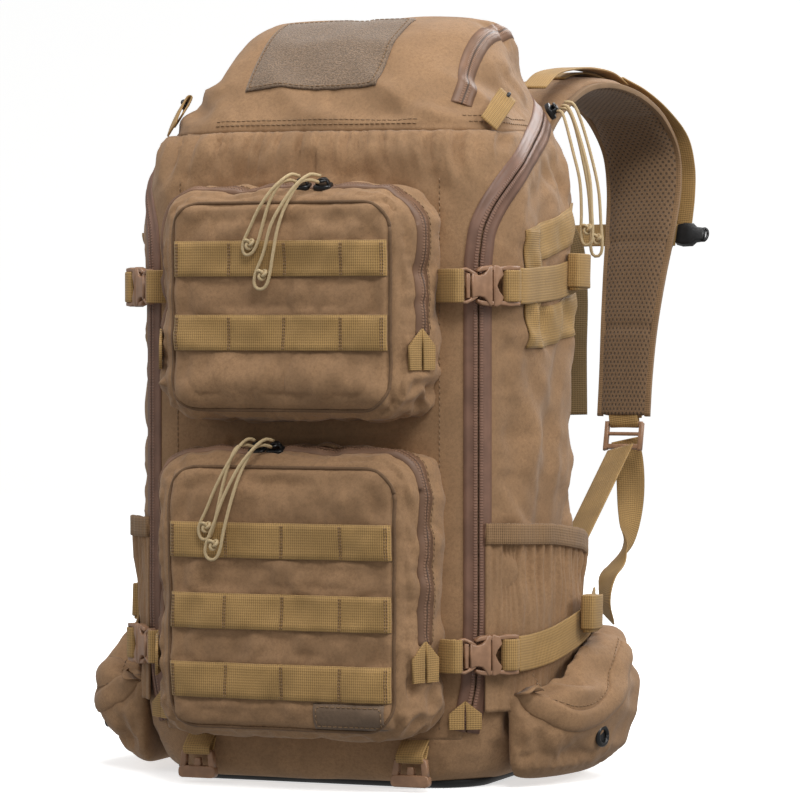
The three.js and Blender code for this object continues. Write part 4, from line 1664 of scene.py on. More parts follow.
@dataclass
class Stitching:
    """Runs of thread that show on a sewn piece, gathered into one piece for each body."""

    length: float = 2.7
    gap: float = 1.3
    radius: float = 0.42
    runs: dict = field(default_factory=dict)

    def run(self, body: str, line: Sequence[Vector], skin: Skin, outs: Sequence[Vector],
            dense: float = 1.0) -> None:
        """Sews one run.

        Args:
            body: the body that the cloth rides on.
            line: where the run goes, near the surface.
            skin: the surface that it is sewn to.
            outs: the outward direction at each point.
            dense: below 1 the stitches are shorter and closer, as in a bartack.
        """
        pitch = (self.length + self.gap) * dense * MM
        count = max(int(length_of(line) / pitch), 1)
        marks = even(line, count + 1)
        whole = self.runs.setdefault(body, bmesh.new())
        scale = (len(line) - 1) / max(count, 1)
        for i, (start, end) in enumerate(zip(marks, marks[1:])):
            out = outs[min(round(i * scale), len(outs) - 1)]
            share = self.length / (self.length + self.gap)
            low = skin.below(start, out)
            high = skin.below(start.lerp(end, share), out)
            self.stitch(whole, low, high, out)

    def stitch(self, whole: bmesh.types.BMesh, low: Vector, high: Vector, out: Vector) -> None:
        """One raised stitch: a small hump between two needle holes.

        Args:
            whole: the mesh that takes it.
            low: the first needle hole.
            high: the second needle hole.
            out: the outward direction.
        """
        along = high - low
        if along.length < 1e-5:
            return
        side = along.cross(out).normalized()
        made = bmesh.ops.create_cone(whole, cap_ends=True, segments=5, radius1=self.radius * MM,
                                     radius2=self.radius * MM, depth=along.length)
        axes = Matrix((side, out, along.normalized())).transposed().to_4x4()
        axes.translation = (low + high) / 2 + out * (self.radius * 0.55 * MM)
        bmesh.ops.transform(whole, matrix=axes, verts=made["verts"])

    def build(self) -> None:
        """Makes one piece of thread for each body."""
        for body, whole in self.runs.items():
            whole.loops.layers.uv.new(STRAP_UV)
            bmesh.ops.recalc_face_normals(whole, faces=whole.faces)
            place_on(as_piece(f"stitching_{body}", whole, THREAD), body)


# ---- front pockets -------------------------------------------------------


@dataclass
class FrontPocket:
    """A bellowed pocket on the front panel, with ladder webbing on its face and a two-way zip over its top."""

    name: str
    bottom: float
    top: float
    half_base: float
    half_face: float
    rows: tuple
    bartacks: tuple
    zip_foot: float
    belly: float = 3.0
    face: float = -150
    back: float = -93
    webbing: float = 25.4
    stuffing: Stuffing = Stuffing(pressure=5.0, spare=0.03, cap=5.0, frames=18)

    @property
    def face_low(self) -> float:
        """The height of the face's lower edge."""
        return self.bottom + 5

    @property
    def face_high(self) -> float:
        """The height of the face's upper edge."""
        return self.top - 11

    def outline(self, y: float, half: float, low: float, high: float, radius: float) -> list[Vector]:
        """A rounded outline at a depth, in metres."""
        middle = Vector((0, y, (low + high) / 2))
        return [(middle + Vector((u, 0, v))) * MM for u, v in rounded(2 * half, high - low, radius, 6)]

    def form(self) -> bmesh.types.BMesh:
        """The closed form of the pocket, before it settles.

        Returns:
            The closed form.
        """
        lean = self.half_base - self.half_face
        rings = [
            self.outline(self.back, self.half_base, self.bottom, self.top, 26),
            self.outline(-112, self.half_base - 0.5, self.bottom, self.top, 26),
            self.outline(-132, self.half_base - lean * 0.3, self.bottom + 1, self.top - 3, 25),
            self.outline(self.face + 6, self.half_face + lean / 4, self.face_low - 2, self.face_high + 3, 23),
            self.outline(self.face + 1.5, self.half_face, self.face_low, self.face_high, 21),
            self.outline(self.face, self.half_face - 3, self.face_low + 3, self.face_high - 3, 19),
        ]
        around, last = len(rings[0]), len(rings) - 1
        bm = patch(around, last, lambda s, t: rings[round(t * last)][round(s * around) % around])
        return remeshed(close_up(bm), 4.0, 4)

    def held(self, place: Vector) -> float:
        """The seams hold: the foot of the bellows and the face's edge.

        Args:
            place: a point in metres.

        Returns:
            How firmly the point is held, from 0 to 1.
        """
        x, y, z = place / MM
        if y > -106:
            return 1.0
        rim = min(self.half_face - abs(x), z - self.face_low, self.face_high - z)
        if y < self.face + 8 and rim < 7:
            return 0.93
        on_row = any(abs(z - row) < 13 for row in self.rows)
        return 0.85 if on_row and y < self.face + 8 else 0.0

    def creases(self, place: Vector, normal: Vector) -> float:
        """Slack, puckers beside the seams and the groove round the face, in millimetres.

        Args:
            place: a point in metres.
            normal: the outward direction there; not used.

        Returns:
            The height in millimetres.
        """
        x, y, z = place / MM
        rim = min(self.half_face - abs(x), z - self.face_low, self.face_high - z)
        lean = Vector((place.z * 0.8, 0, 0))
        height = 1.2 * swells(place, 50, self.bottom)
        height += 1.3 * ridged(place + lean, (70, 60, 34), self.bottom * 0.1)
        height += 0.9 * ridged(place - lean, (30, 50, 110), 4.1)
        if y < self.face + 9:
            height += 1.6 * fade(rim, 4, 34)
            height -= 2.0 * math.exp(-((rim - 1.0) / 2.2) ** 2)
            low = fade(z, self.face_low, self.face_low + 10)
            low *= 1 - fade(z, self.face_low + 16, self.rows[-1] - 12)
            height += self.belly * low * fade(rim, 0, 16)
        else:
            off_zip = fade(abs(y + 126), 7, 13)
            height += 2.4 * off_zip * ridged(place + Vector((0, place.z * 0.4, 0)), (30, 40, 30), 8.8)
            corner = fade(abs(x), self.half_base - 34, self.half_base - 6)
            corner *= 1 - fade(z, self.bottom + 16, self.bottom + 60)
            height += 3.0 * corner * ridged(place, (20, 16, 14), 2.6)
        return height

    def build(self, thread: Stitching) -> Skin:
        """Makes the pocket with everything sewn to it.

        Args:
            thread: the stitching that the seams are added to.

        Returns:
            The pocket's finished surface.
        """
        bm = self.stuffing.settle(self.form(), self.held)
        made = as_piece(f"{self.name}_shell", pushed(divided(bm), self.creases), COYOTE)
        place_on(made, "flap", f"{self.name}_pocket")
        skin = Skin(made)
        self.add_piping(skin)
        self.add_rows(skin, thread)
        self.add_zip(skin, thread)
        return skin

    def rim_line(self, inset: float, count: int = 220) -> list[Vector]:
        """The face's edge, moved in by an inset, as a closed line.

        Args:
            inset: how far in from the edge, in millimetres.
            count: how many points.

        Returns:
            The points in metres.
        """
        low, high = self.face_low + inset, self.face_high - inset
        ring = self.outline(self.face, self.half_face - inset, low, high, 21 - inset)
        return even([*ring, ring[0]], count)

    def add_piping(self, skin: Skin) -> None:
        """The corded edge of the face: real piping, whose cloth is darker than the pocket's as painted shade
        for the dark line along the edge.

        Args:
            skin: the surface that it is sewn to.
        """
        line = [skin.below(p, OUT_FRONT) for p in self.rim_line(0.6)]
        line = [(line[i - 1] + p + line[(i + 1) % len(line)]) / 3 for i, p in enumerate(line)]
        # The piping's darker cloth is painted shade for the shadow line along the face's edge.
        piping = as_piece(f"{self.name}_piping", tube([*line[1:], line[1]], 1.35 * MM, 8), PIPING_PAINTED_SHADE)
        place_on(piping, "flap")

    def add_rows(self, skin: Skin, thread: Stitching) -> None:
        """The rows of webbing, sewn down at each bartack and slack between.

        Args:
            skin: the surface that it is sewn to.
            thread: the stitching that its seams are added to.
        """
        stops = [-self.half_face + 2, *self.bartacks, self.half_face - 2]

        def slack(along: float) -> float:
            """How far the webbing stands off between its bartacks.

            Args:
                along: the length along the row, in metres.

            Returns:
                The height in metres.
            """
            x = -self.half_face + 2 + along / MM
            for low, high in zip(stops, stops[1:]):
                if low <= x <= high:
                    return 1.3 * MM * math.sin(math.pi * (x - low) / (high - low)) ** 0.7
            return 0.0

        for i, z in enumerate(self.rows):
            ends = Vector((self.half_face - 2, self.face, z)) * MM
            start = Vector((-ends.x, ends.y, ends.z))
            line = even([start, ends], 90)
            strip = laid_strip(skin, line, [OUT_FRONT] * len(line), flat_profile(self.webbing, 1.5), slack)
            row = as_piece(f"{self.name}_webbing_{i + 1}", outwards(strip, OUT_FRONT), WEBBING, thick=1.3)
            place_on(row, "flap", f"{self.name}_row_{i + 1}")
            laid = Skin(row)
            for x in (*self.bartacks, self.half_face - 5, 5 - self.half_face):
                for shift in (-0.7, 0.7):
                    low, high = z - self.webbing * 0.46, z + self.webbing * 0.46
                    tack = [Vector((x + shift, self.face, h)) * MM for h in (low, (low + high) / 2, high)]
                    thread.run("flap", tack, laid, [OUT_FRONT] * 3, 0.55)

    def add_zip(self, skin: Skin, thread: Stitching) -> None:
        """The coil zip round the bellows, from one tab over the top to the other.

        Args:
            skin: the surface that it is sewn to.
            thread: the stitching that its seams are added to.
        """
        depth = -126
        ring = self.outline(depth, self.half_base - 3, self.bottom, self.top - 2, 25)
        turn = [p for p in even([*ring, ring[0]], 260) if p.z > self.zip_foot * MM]
        middle = Vector((0, depth * MM, (self.bottom + self.top) / 2 * MM))
        turn.sort(key=lambda p: math.atan2(p.x, p.z - self.zip_foot * MM + 0.02))
        outs = []
        for along in directions(turn):
            out = TO_WEARER.cross(along)
            outs.append((out + Vector((0, -0.25, 0))).normalized())
        if outs[0].dot(turn[0] - middle) < 0:
            outs = [Vector((-o.x, o.y, -o.z)) for o in outs]
        profile = [(-7.5, 0.5), (-3.2, 0.9), (-2.6, 1.6), (-0.9, 1.8), (0, 1.1), (0.9, 1.8), (2.6, 1.6),
                   (3.2, 0.9), (7.5, 0.5)]
        strip = outwards(laid_strip(skin, turn, outs, profile), outs[len(outs) // 2])
        place_on(as_piece(f"{self.name}_zip", strip, POCKET_ZIP, thick=0.8), "flap")
        for side in Side:
            self.add_tab(skin, side)
        seam = [p + TO_WEARER * 0.0095 for p in turn]
        thread.run("flap", seam[::2], skin, outs[::2])

    def add_tab(self, skin: Skin, side: Side) -> None:
        """A folded webbing tab at the foot of the zip.

        Args:
            skin: the surface that it is sewn to.
            side: the side of the pack.
        """
        place = side.of((self.half_base - 5, -128, self.zip_foot - 4))
        out = Vector((0.93 * side.value, -0.37, 0)).normalized()
        hit = skin.below(place, out) + out * 1.5 * MM
        across = UP.cross(out).normalized()
        tab = folded_tab(13, 20)
        made = as_piece(f"{self.name}_tab_{side.word}", turned(tab, hit, across, UP, out), WEBBING)
        place_on(made, "flap")


def folded_tab(half: float, tall: float) -> bmesh.types.BMesh:
    """Webbing folded to a point: two legs that cross into a triangle, in its own plane.

    Args:
        half: half its width in millimetres.
        tall: half its height in millimetres.

    Returns:
        The tab, with its strap map.
    """
    parts = []
    for turn in (-1, 1):
        slit = -half * 0.05
        corners = [(-half * 0.98, -tall), (slit, -tall), (slit, -2), (0, tall * 0.45), (-half, -3)]
        leg = plate(in_metres(corners), 2.2 * MM, 0.5 * MM)
        bmesh.ops.translate(leg, verts=leg.verts, vec=(0, 0, 0.0004 * turn))
        if turn > 0:
            bmesh.ops.scale(leg, verts=leg.verts, vec=(-1, 1, 1))
            bmesh.ops.reverse_faces(leg, faces=leg.faces)
        parts.append(leg)
    whole = joined(parts)
    layer = whole.loops.layers.uv[STRAP_UV]
    for face in whole.faces:
        for loop in face.loops:
            loop[layer].uv = (loop.vert.co.x, loop.vert.co.y)
    return whole


# ---- buckles and sliders -------------------------------------------------


@dataclass
class SideBuckle:
    """A side-release buckle: a waisted socket, and a plug whose two prongs spring into it."""

    level: str
    height: float
    side: Side
    bag: BagShell
    thick: float = 8.0

    def mould(self, corners: Sequence[tuple[float, float]], thick: float) -> bmesh.types.BMesh:
        """One moulded plate, crowned across its height.

        Args:
            corners: the upper half of the outline as (along, up) in millimetres; the lower half mirrors it.
            thick: its thickness in millimetres.

        Returns:
            The closed plate.
        """
        outline = [*corners, *[(u, -v) for u, v in reversed(corners)]]
        bm = plate(in_metres(outline)[::-1], thick * MM, 1.1 * MM)
        for vert in bm.verts:
            crown = 1 - 0.28 * min(abs(vert.co.y) / (17 * MM), 1) ** 2
            vert.co.z *= crown
        return bm

    def socket(self) -> bmesh.types.BMesh:
        """The waisted socket and the bar that holds the front stub.

        Returns:
            The socket in its own axes.
        """
        waist = ((-17, 9), (-14.5, 8.2), (-11, 7.6), (-7.5, 8.4), (-5, 11), (-3.2, 14), (-1, 15), (-0.5, 11))
        rail = ((-26, 12.4), (-21, 13.2), (-16, 11), (-12, 8.5), (-14, 6), (-19, 9.8), (-22, 11), (-26, 9.8))
        front_bar = ((-26.5, -12), (-24, -12), (-24, 12), (-26.5, 12))
        rear_bar = ((-21, -9), (-18, -9), (-18, 9), (-21, 9))
        parts = [self.mould(waist, self.thick)]
        for turn in (-1, 1):
            parts.append(plate(in_metres([(u, v * turn) for u, v in rail])[::turn], 6 * MM, 1.0 * MM))
        parts.append(plate(in_metres(front_bar), 4.2 * MM, 0.9 * MM))
        parts.append(plate(in_metres(rear_bar), 5 * MM, 0.9 * MM))
        return joined(parts)

    def plug(self) -> bmesh.types.BMesh:
        """The plug's shoulders, prongs, side rails and two bars.

        Returns:
            The plug in its own axes.
        """
        body = self.mould(((0.6, 14.6), (3, 15), (7, 13.5), (8.4, 8), (5, 4), (3.2, 0.2)), self.thick * 0.92)
        parts = [body]
        for turn in (-1, 1):
            prong = [(1, 11), (1, 14), (-4, 14.6), (-9, 13.8), (-12.5, 11.4), (-12, 9.8), (-8.5, 10.6),
                     (-4, 11.2)]
            rail = [(5, 13.6), (5, 11), (22, 11.6), (22, 14.2), (14, 14.8)]
            for corners, thick in ((prong, 5.2), (rail, 6.0)):
                part = plate(in_metres([(u, v * turn) for u, v in corners]), thick * MM, 0.9 * MM)
                bmesh.ops.recalc_face_normals(part, faces=part.faces)
                parts.append(part)
        for low, high, thick in ((12.2, 14.6, 5.0), (19.6, 22.0, 5.4)):
            bar = [(low, -12.5), (high, -12.5), (high, 12.5), (low, 12.5)]
            parts.append(plate(in_metres(bar), thick * MM, 0.9 * MM))
        return joined(parts)

    def build(self) -> None:
        """Makes the socket on the flap and the plug on its own body."""
        centre = self.bag.corner_place(self.side, self.height)
        along, out = self.bag.corner_axes(self.side)
        word = f"{self.level}_{{}}_{self.side.word}"
        halves = (("socket", self.socket(), "flap"), ("plug", self.plug(), word.format("plug")))
        for name, form, body in halves:
            bmesh.ops.scale(form, verts=form.verts, vec=(0.97, 0.97, 1))
            made = turned(form, centre, along, UP, out)
            piece = as_piece(word.format(name) + "_moulding", made, TAN_PLASTIC)
            place_on(piece, body, word.format(name))


@dataclass
class BaseBuckle:
    """The small buckle at the foot of the front, lying against the base on its short strap."""

    side: Side
    route: tuple = ((82, -94, 37), (82, -100.5, 33), (82, -109, 26), (82, -107.5, 21), (82, -101.5, 24),
                    (82, -97, 32))

    def build(self) -> None:
        """Makes the moulding and the strap that holds it."""
        low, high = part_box(f"base_buckle_{self.side.word}")
        middle = (low + high) / 2
        wide, tall = high.x - low.x, high.z - low.z
        parts = [plate([(u, v) for u, v in rounded(wide * 0.96, tall * 0.36, 0.003, 3)], 0.0075, 0.001)]
        bmesh.ops.translate(parts[0], verts=parts[0].verts, vec=(0, -tall * 0.3, 0))
        for turn in (-1, 1):
            rail = [(turn * wide * 0.30, -tall * 0.2), (turn * wide * 0.46, -tall * 0.2),
                    (turn * wide * 0.40, tall * 0.34), (turn * wide * 0.27, tall * 0.3)]
            part = plate(rail if turn > 0 else rail[::-1], 0.006, 0.001)
            bmesh.ops.recalc_face_normals(part, faces=part.faces)
            parts.append(part)
        bar = [(-wide * 0.34, tall * 0.22), (wide * 0.34, tall * 0.22),
               (wide * 0.36, tall * 0.36), (-wide * 0.36, tall * 0.36)]
        parts.append(plate(bar, 0.0055, 0.001))
        tooth = [(-wide * 0.1, -tall * 0.15), (wide * 0.1, -tall * 0.15),
                 (wide * 0.07, tall * 0.12), (-wide * 0.07, tall * 0.12)]
        parts.append(plate(tooth, 0.0045, 0.001))
        form = turned(joined(parts), middle, ACROSS, UP, OUT_FRONT)
        piece = as_piece(f"base_buckle_{self.side.word}_moulding", form, TAN_PLASTIC)
        place_on(piece, "pack", f"base_buckle_{self.side.word}")
        strap = ribbon(self.side.curve(self.route, 40), ACROSS, 21 * MM, 1.6 * MM)
        place_on(as_piece(f"base_strap_{self.side.word}", strap, WEBBING), "pack")


@dataclass
class ZipSlider:
    """A black zip slider: a rounded body, its bridge and the ring that the cord goes through."""

    node: str
    body: str
    along: Vector
    out: Vector
    grow: float = 1.25

    def build(self) -> None:
        """Makes the slider in its CAD node's place."""
        low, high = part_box(self.node)
        across = self.out.cross(self.along).normalized()
        foot = plate(rounded(10.5 * MM, 8.6 * MM, 2.6 * MM, 4), 3.2 * MM, 0.8 * MM)
        bmesh.ops.translate(foot, verts=foot.verts, vec=(0, 0, -1.2 * MM))
        arch = [(-3.6, 0, 0), (-3, 0, 2.2), (0, 0, 3.4), (3, 0, 2.2), (3.6, 0, 0)]
        bridge = ribbon([p * MM for p in smooth_line(arch, 18)], TO_WEARER, 3.0 * MM, 1.1 * MM)
        ring = [(2.2 * math.cos(a), 3.1 * math.sin(a), 2.8) for a in full_turn(20)]
        hoop = tube([Vector(p) * MM for p in ring], 0.75 * MM, 8)
        whole = joined([foot, bridge, hoop])
        bmesh.ops.scale(whole, verts=whole.verts, vec=(self.grow, self.grow, self.grow))
        form = turned(whole, (low + high) / 2, self.along, across, self.out)
        place_on(as_piece(f"{self.node}_moulding", form, BLACK_PLASTIC), self.body, self.node)


# ---- webbing on the bag --------------------------------------------------


@dataclass
class SideWebbing:
    """The compression webbing of one side: stubs, yoke, straps and rolled tails."""

    side: Side
    bag: BagShell
    width: float = 25.4
    thick: float = 1.8
    upper_route: tuple = ((153.6, -62, 357), (153.8, -40, 358), (153.6, 0, 360), (154.2, 24, 363),
                          (155.0, 42, 366))
    lower_route: tuple = ((154.8, -54, 97.5), (162.6, -33, 101), (168.6, -10, 107), (170.4, 12, 112),
                          (169.0, 36, 118), (163.2, 62, 124))
    rear_route: tuple = ((126, 98, 402), (134, 97, 385), (137, 96, 350), (136, 97, 310), (136, 98, 262))

    def build(self, skin: Skin, thread: Stitching) -> None:
        """Makes all the webbing of this side.

        Args:
            skin: the surface that it is sewn to.
            thread: the stitching that its seams are added to.
        """
        self.add_yoke(skin, thread)
        for level, height in STRAP_HEIGHTS.items():
            self.add_stub(level, height)
            self.add_wrap(level, height)
        self.add_upper_strap()
        self.add_lower_strap()
        self.add_roll("upper", (160.5, 34, 368), 84, 22)
        self.add_roll("lower", (178.0, 12, 121), 92, 26)
        self.add_tail()

    def on_wall(self, corners: Sequence[tuple[float, float]],
                count: int) -> tuple[list[Vector], list[Vector]]:
        """A line on the bag's side through (y, z) corners, with outward directions.

        Args:
            corners: corners in its section.
            count: how many points.

        Returns:
            The points and the outward directions.
        """
        line = smooth_line([(y, z, 0) for y, z in corners], count)
        places = [self.bag.side_point(self.side, p.x, p.y) for p in line]
        return [p for p, _ in places], [o for _, o in places]

    def add_yoke(self, skin: Skin, thread: Stitching) -> None:
        """The wide webbing sewn to the side under the upper strap.

        Args:
            skin: the surface that it is sewn to.
            thread: the stitching that its seams are added to.
        """
        bands = (
            (((-50, 384), (-10, 391), (30, 399), (70, 407)), 26.0, 1.3, True),
            (((-50, 327), (-10, 329), (30, 334), (70, 340)), 29.0, 1.3, True),
            (((-38, 313), (-38, 340), (-38, 370), (-38, 397)), 27.0, 2.2, False),
        )
        parts = []
        for corners, width, height, tacked in bands:
            line, outs = self.on_wall(corners, 50)
            strip = outwards(laid_strip(skin, line, outs, flat_profile(width, height)), outs[25])
            bmesh.ops.solidify(strip, geom=strip.faces[:], thickness=1.2 * MM)
            parts.append(strip)
            for edge, start in ((0, 4), (46, 49)) if tacked else ():
                tack = [line[start] + UP * (h * MM) for h in (-width * 0.44, 0, width * 0.44)]
                for shift in (0, 3.2):
                    back = TO_WEARER * (shift * MM)
                    thread.run("pack", [p + back for p in tack], skin, [outs[edge]] * 3, 0.7)
        made = as_piece(f"side_yoke_{self.side.word}_webbing", joined(parts), WEBBING)
        place_on(made, "pack", f"side_yoke_{self.side.word}")

    def add_stub(self, level: str, height: float) -> None:
        """The stub from the front panel's seam to the socket's bar and back.

        Args:
            level: "upper" or "lower".
            height: its height in millimetres.
        """
        centre = self.bag.corner_place(self.side, height)
        along, out = self.bag.corner_axes(self.side)
        bar = centre - along * (25 * MM)
        seam = self.side.of((97, -100.5, height))
        lead = bar - along * (5 * MM)
        route = [seam, seam.lerp(lead, 0.5) + OUT_FRONT * 0.0025, lead + out * 0.0026, bar + out * 0.0036,
                 bar + along * 0.0028, bar - out * 0.0034, lead - out * 0.001,
                 seam.lerp(lead, 0.4) + OUT_FRONT * 0.0002]
        strap = ribbon(smooth_line(route, 60), UP, self.width * 0.94 * MM, 1.5 * MM)
        place_on(as_piece(f"{level}_stub_{self.side.word}", strap, WEBBING), "flap")

    def add_wrap(self, level: str, height: float) -> None:
        """The strap's turn round the plug's rear bar.

        Args:
            level: "upper" or "lower".
            height: its height in millimetres.
        """
        centre = self.bag.corner_place(self.side, height)
        along, out = self.bag.corner_axes(self.side)
        turn = ((24, -1.5), (19, 3.6), (14, 4.2), (10.6, 3.2), (9.4, 0), (11.5, -3.2), (16, -4.2), (21, -4.4),
                (25, -4))
        route = [centre + along * (u * MM) + out * (w * MM) for u, w in turn]
        strap = ribbon(smooth_line(route, 70), UP, self.width * 0.88 * MM, 1.5 * MM)
        place_on(as_piece(f"{level}_wrap_{self.side.word}", strap, WEBBING), f"{level}_plug_{self.side.word}")

    def add_upper_strap(self) -> None:
        """The upper strap from the plug back over the yoke."""
        start = self.bag.corner_place(self.side, STRAP_HEIGHTS["upper"])
        along, _ = self.bag.corner_axes(self.side)
        route = [start + along * 0.0225, *[self.side.of(p) for p in self.upper_route]]
        strap = ribbon(smooth_line(route, 70), UP, self.width * MM, self.thick * MM)
        made = as_piece(f"upper_strap_{self.side.word}", strap, WEBBING)
        self.side.of((153, -20, 357))
        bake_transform(made)

    def add_lower_strap(self) -> None:
        """The lower strap from the plug over the bottle pocket."""
        start = self.bag.corner_place(self.side, STRAP_HEIGHTS["lower"])
        along, _ = self.bag.corner_axes(self.side)
        route = [start + along * 0.0225, *[self.side.of(p) for p in self.lower_route]]
        strap = ribbon(smooth_line(route, 80), UP, self.width * MM, self.thick * MM)
        made = as_piece(f"lower_strap_{self.side.word}_webbing", strap, WEBBING)
        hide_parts(f"lower_strap_{self.side.word}")
        self.side.of((167, -14, 106))
        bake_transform(made)

    def add_roll(self, level: str, place: Point, turn: float, long: float) -> None:
        """A strap's spare end, rolled flat and held by its own elastic.

        Args:
            level: "upper" or "lower".
            place: its middle, in millimetres.
            turn: its angle from straight out, in degrees.
            long: its length in millimetres.
        """
        middle = self.side.of(place)
        lie = Vector((math.cos(math.radians(turn)) * self.side.value, math.sin(math.radians(turn)), 0))
        off = lie.cross(UP) * self.side.value
        route = []
        laps, steps = 3, 20
        for k in range(laps * steps + 1):
            a = math.tau * k / steps
            grow = 1.2 + 1.9 * k / steps
            reach = long / 2 - 3 + grow * 0.6
            sag = 1.2 * math.sin(a * 0.5)
            point = lie * (max(min(1.35 * math.cos(a), 1), -1) * reach * MM) + off * (math.sin(a) * grow * MM)
            route.append(middle + point + UP * (sag * MM))
        roll = ribbon(even(route, 110), (UP + lie * 0.06).normalized(), self.width * 0.97 * MM, 1.15 * MM)
        place_on(as_piece(f"{level}_roll_{self.side.word}", roll, WEBBING), "pack")

    def add_tail(self) -> None:
        """The rear strap that hangs free beside the bag's back corner."""
        line = self.side.curve(self.rear_route, 60)
        strap = ribbon(line, Vector((0.82 * self.side.value, 0.57, 0)), 19 * MM, 1.5 * MM)
        place_on(as_piece(f"rear_strap_{self.side.word}", strap, UNDER_WEBBING), "pack")


# ---- bottle pockets, wings and base --------------------------------------


@dataclass
class BottlePocket:
    """An open-topped pocket on the side, gathered under a bound edge."""

    side: Side
    rings: tuple = ((56, -75, 84, 160, 143.5), (90, -75, 88, 164, 144.5), (190, -75, 88, 165, 145.5))
    mouth: tuple = ((-100, 188), (-30, 185), (30, 178), (110, 160))
    gathers: int = 15
    slump: float = 14

    def ring_at(self, z: float) -> list[float]:
        """Front, back, reach and brow at a height.

        Args:
            z: the height in millimetres.

        Returns:
            The four sizes, in millimetres.
        """
        for low, high in zip(self.rings, self.rings[1:]):
            if z <= high[0]:
                t = max((z - low[0]) / (high[0] - low[0]), 0.0)
                return [a + (b - a) * t for a, b in zip(low[1:], high[1:])]
        return list(self.rings[-1][1:])

    def mouth_at(self, y: float) -> float:
        """The rim's height at a depth.

        Args:
            y: the depth in millimetres.

        Returns:
            The height in millimetres.
        """
        for (y0, z0), (y1, z1) in zip(self.mouth, self.mouth[1:]):
            if y <= y1:
                return z0 + (z1 - z0) * (y - y0) / (y1 - y0)
        return self.mouth[-1][1]

    def outline(self, z: float, count: int) -> list[Vector]:
        """The outer line at a height, from the main zip round to the back, in millimetres.

        Args:
            z: the height in millimetres.
            count: how many points.

        Returns:
            The points.
        """
        front, back, reach, brow = self.ring_at(z)
        reach += self.slump * fade(z, 124, 156) if self.side is Side.LEFT else 0
        corners = [(130.5, front - 10, z), (brow + 1.5, front + 5, z), (brow + 9, front + 25, z),
                   ((reach + brow) / 2 + 6, front + 44, z), (reach, (front + back) / 2 + 8, z),
                   (reach - 8, back - 28, z), (137, back, z)]
        return smooth_line(corners, count)

    def build(self) -> None:
        """Makes the gathered wall and its binding."""
        columns, rows = 150, 44
        low = self.rings[0][0]
        lines = [self.outline(low + (190 - low) * r / 8, columns + 1) for r in range(9)]

        def place(s: float, t: float) -> Vector:
            """A point of the gathered wall.

            Args:
                s: share across.
                t: share along.

            Returns:
                The position in metres.
            """
            i = round(s * columns)
            y = lines[4][i].y
            z = low + (self.mouth_at(y) - 3 - low) * t
            row = min(max((z - low) / (190 - low) * 8, 0), 7.999)
            base = lines[int(row)][i].lerp(lines[int(row) + 1][i], row - int(row))
            along = (lines[4][min(i + 1, columns)] - lines[4][max(i - 1, 0)]).normalized()
            out = Vector((along.y, -along.x, 0))
            wander = noise.noise(Vector((s * 9, t * 1.3, 4.2)))
            edge = fade(s, 0.0, 0.06) * (1 - fade(s, 0.94, 1.0))
            fold = 0.7 * math.sin(math.tau * (s * self.gathers + wander * 0.9))
            fold += 0.4 * math.sin(math.tau * (s * self.gathers * 1.9 - wander * 1.3))
            depth = (0.7 + 3.2 * fade(t, 0.3, 0.92)) * (0.75 + 0.7 * noise.noise(Vector((s * 5, 2.2, t))))
            slack = 6.0 * math.sin(math.pi * t) * noise.noise(Vector((s * 4.5, t * 3.0, 8.1)))
            return self.side.of(base + out * ((fold * depth + slack - 1.5) * edge))

        wall = patch(columns, rows, place)
        middle = self.side.of((220, 0, 120)) - self.side.of((100, 0, 120))
        made = as_piece(f"bottle_pocket_{self.side.word}_wall", outwards(wall, middle), COYOTE, thick=1.6)
        place_on(made, "pack", f"bottle_pocket_{self.side.word}")
        self.add_binding()

    def add_binding(self) -> None:
        """The elastic binding folded over the rim."""
        line = []
        for point in self.outline(180, 111):
            point.z = self.mouth_at(point.y) - 5
            line.append(self.side.of(point))
        binding = ribbon(line, UP, 15 * MM, 3.6 * MM)
        pushed(binding, lambda co, n: 0.25 * math.sin(co.y / MM * 1.6) + 0.4 * swells(co, 16, 3.0))
        place_on(as_piece(f"pocket_binding_{self.side.word}", binding, BINDING), "pack")


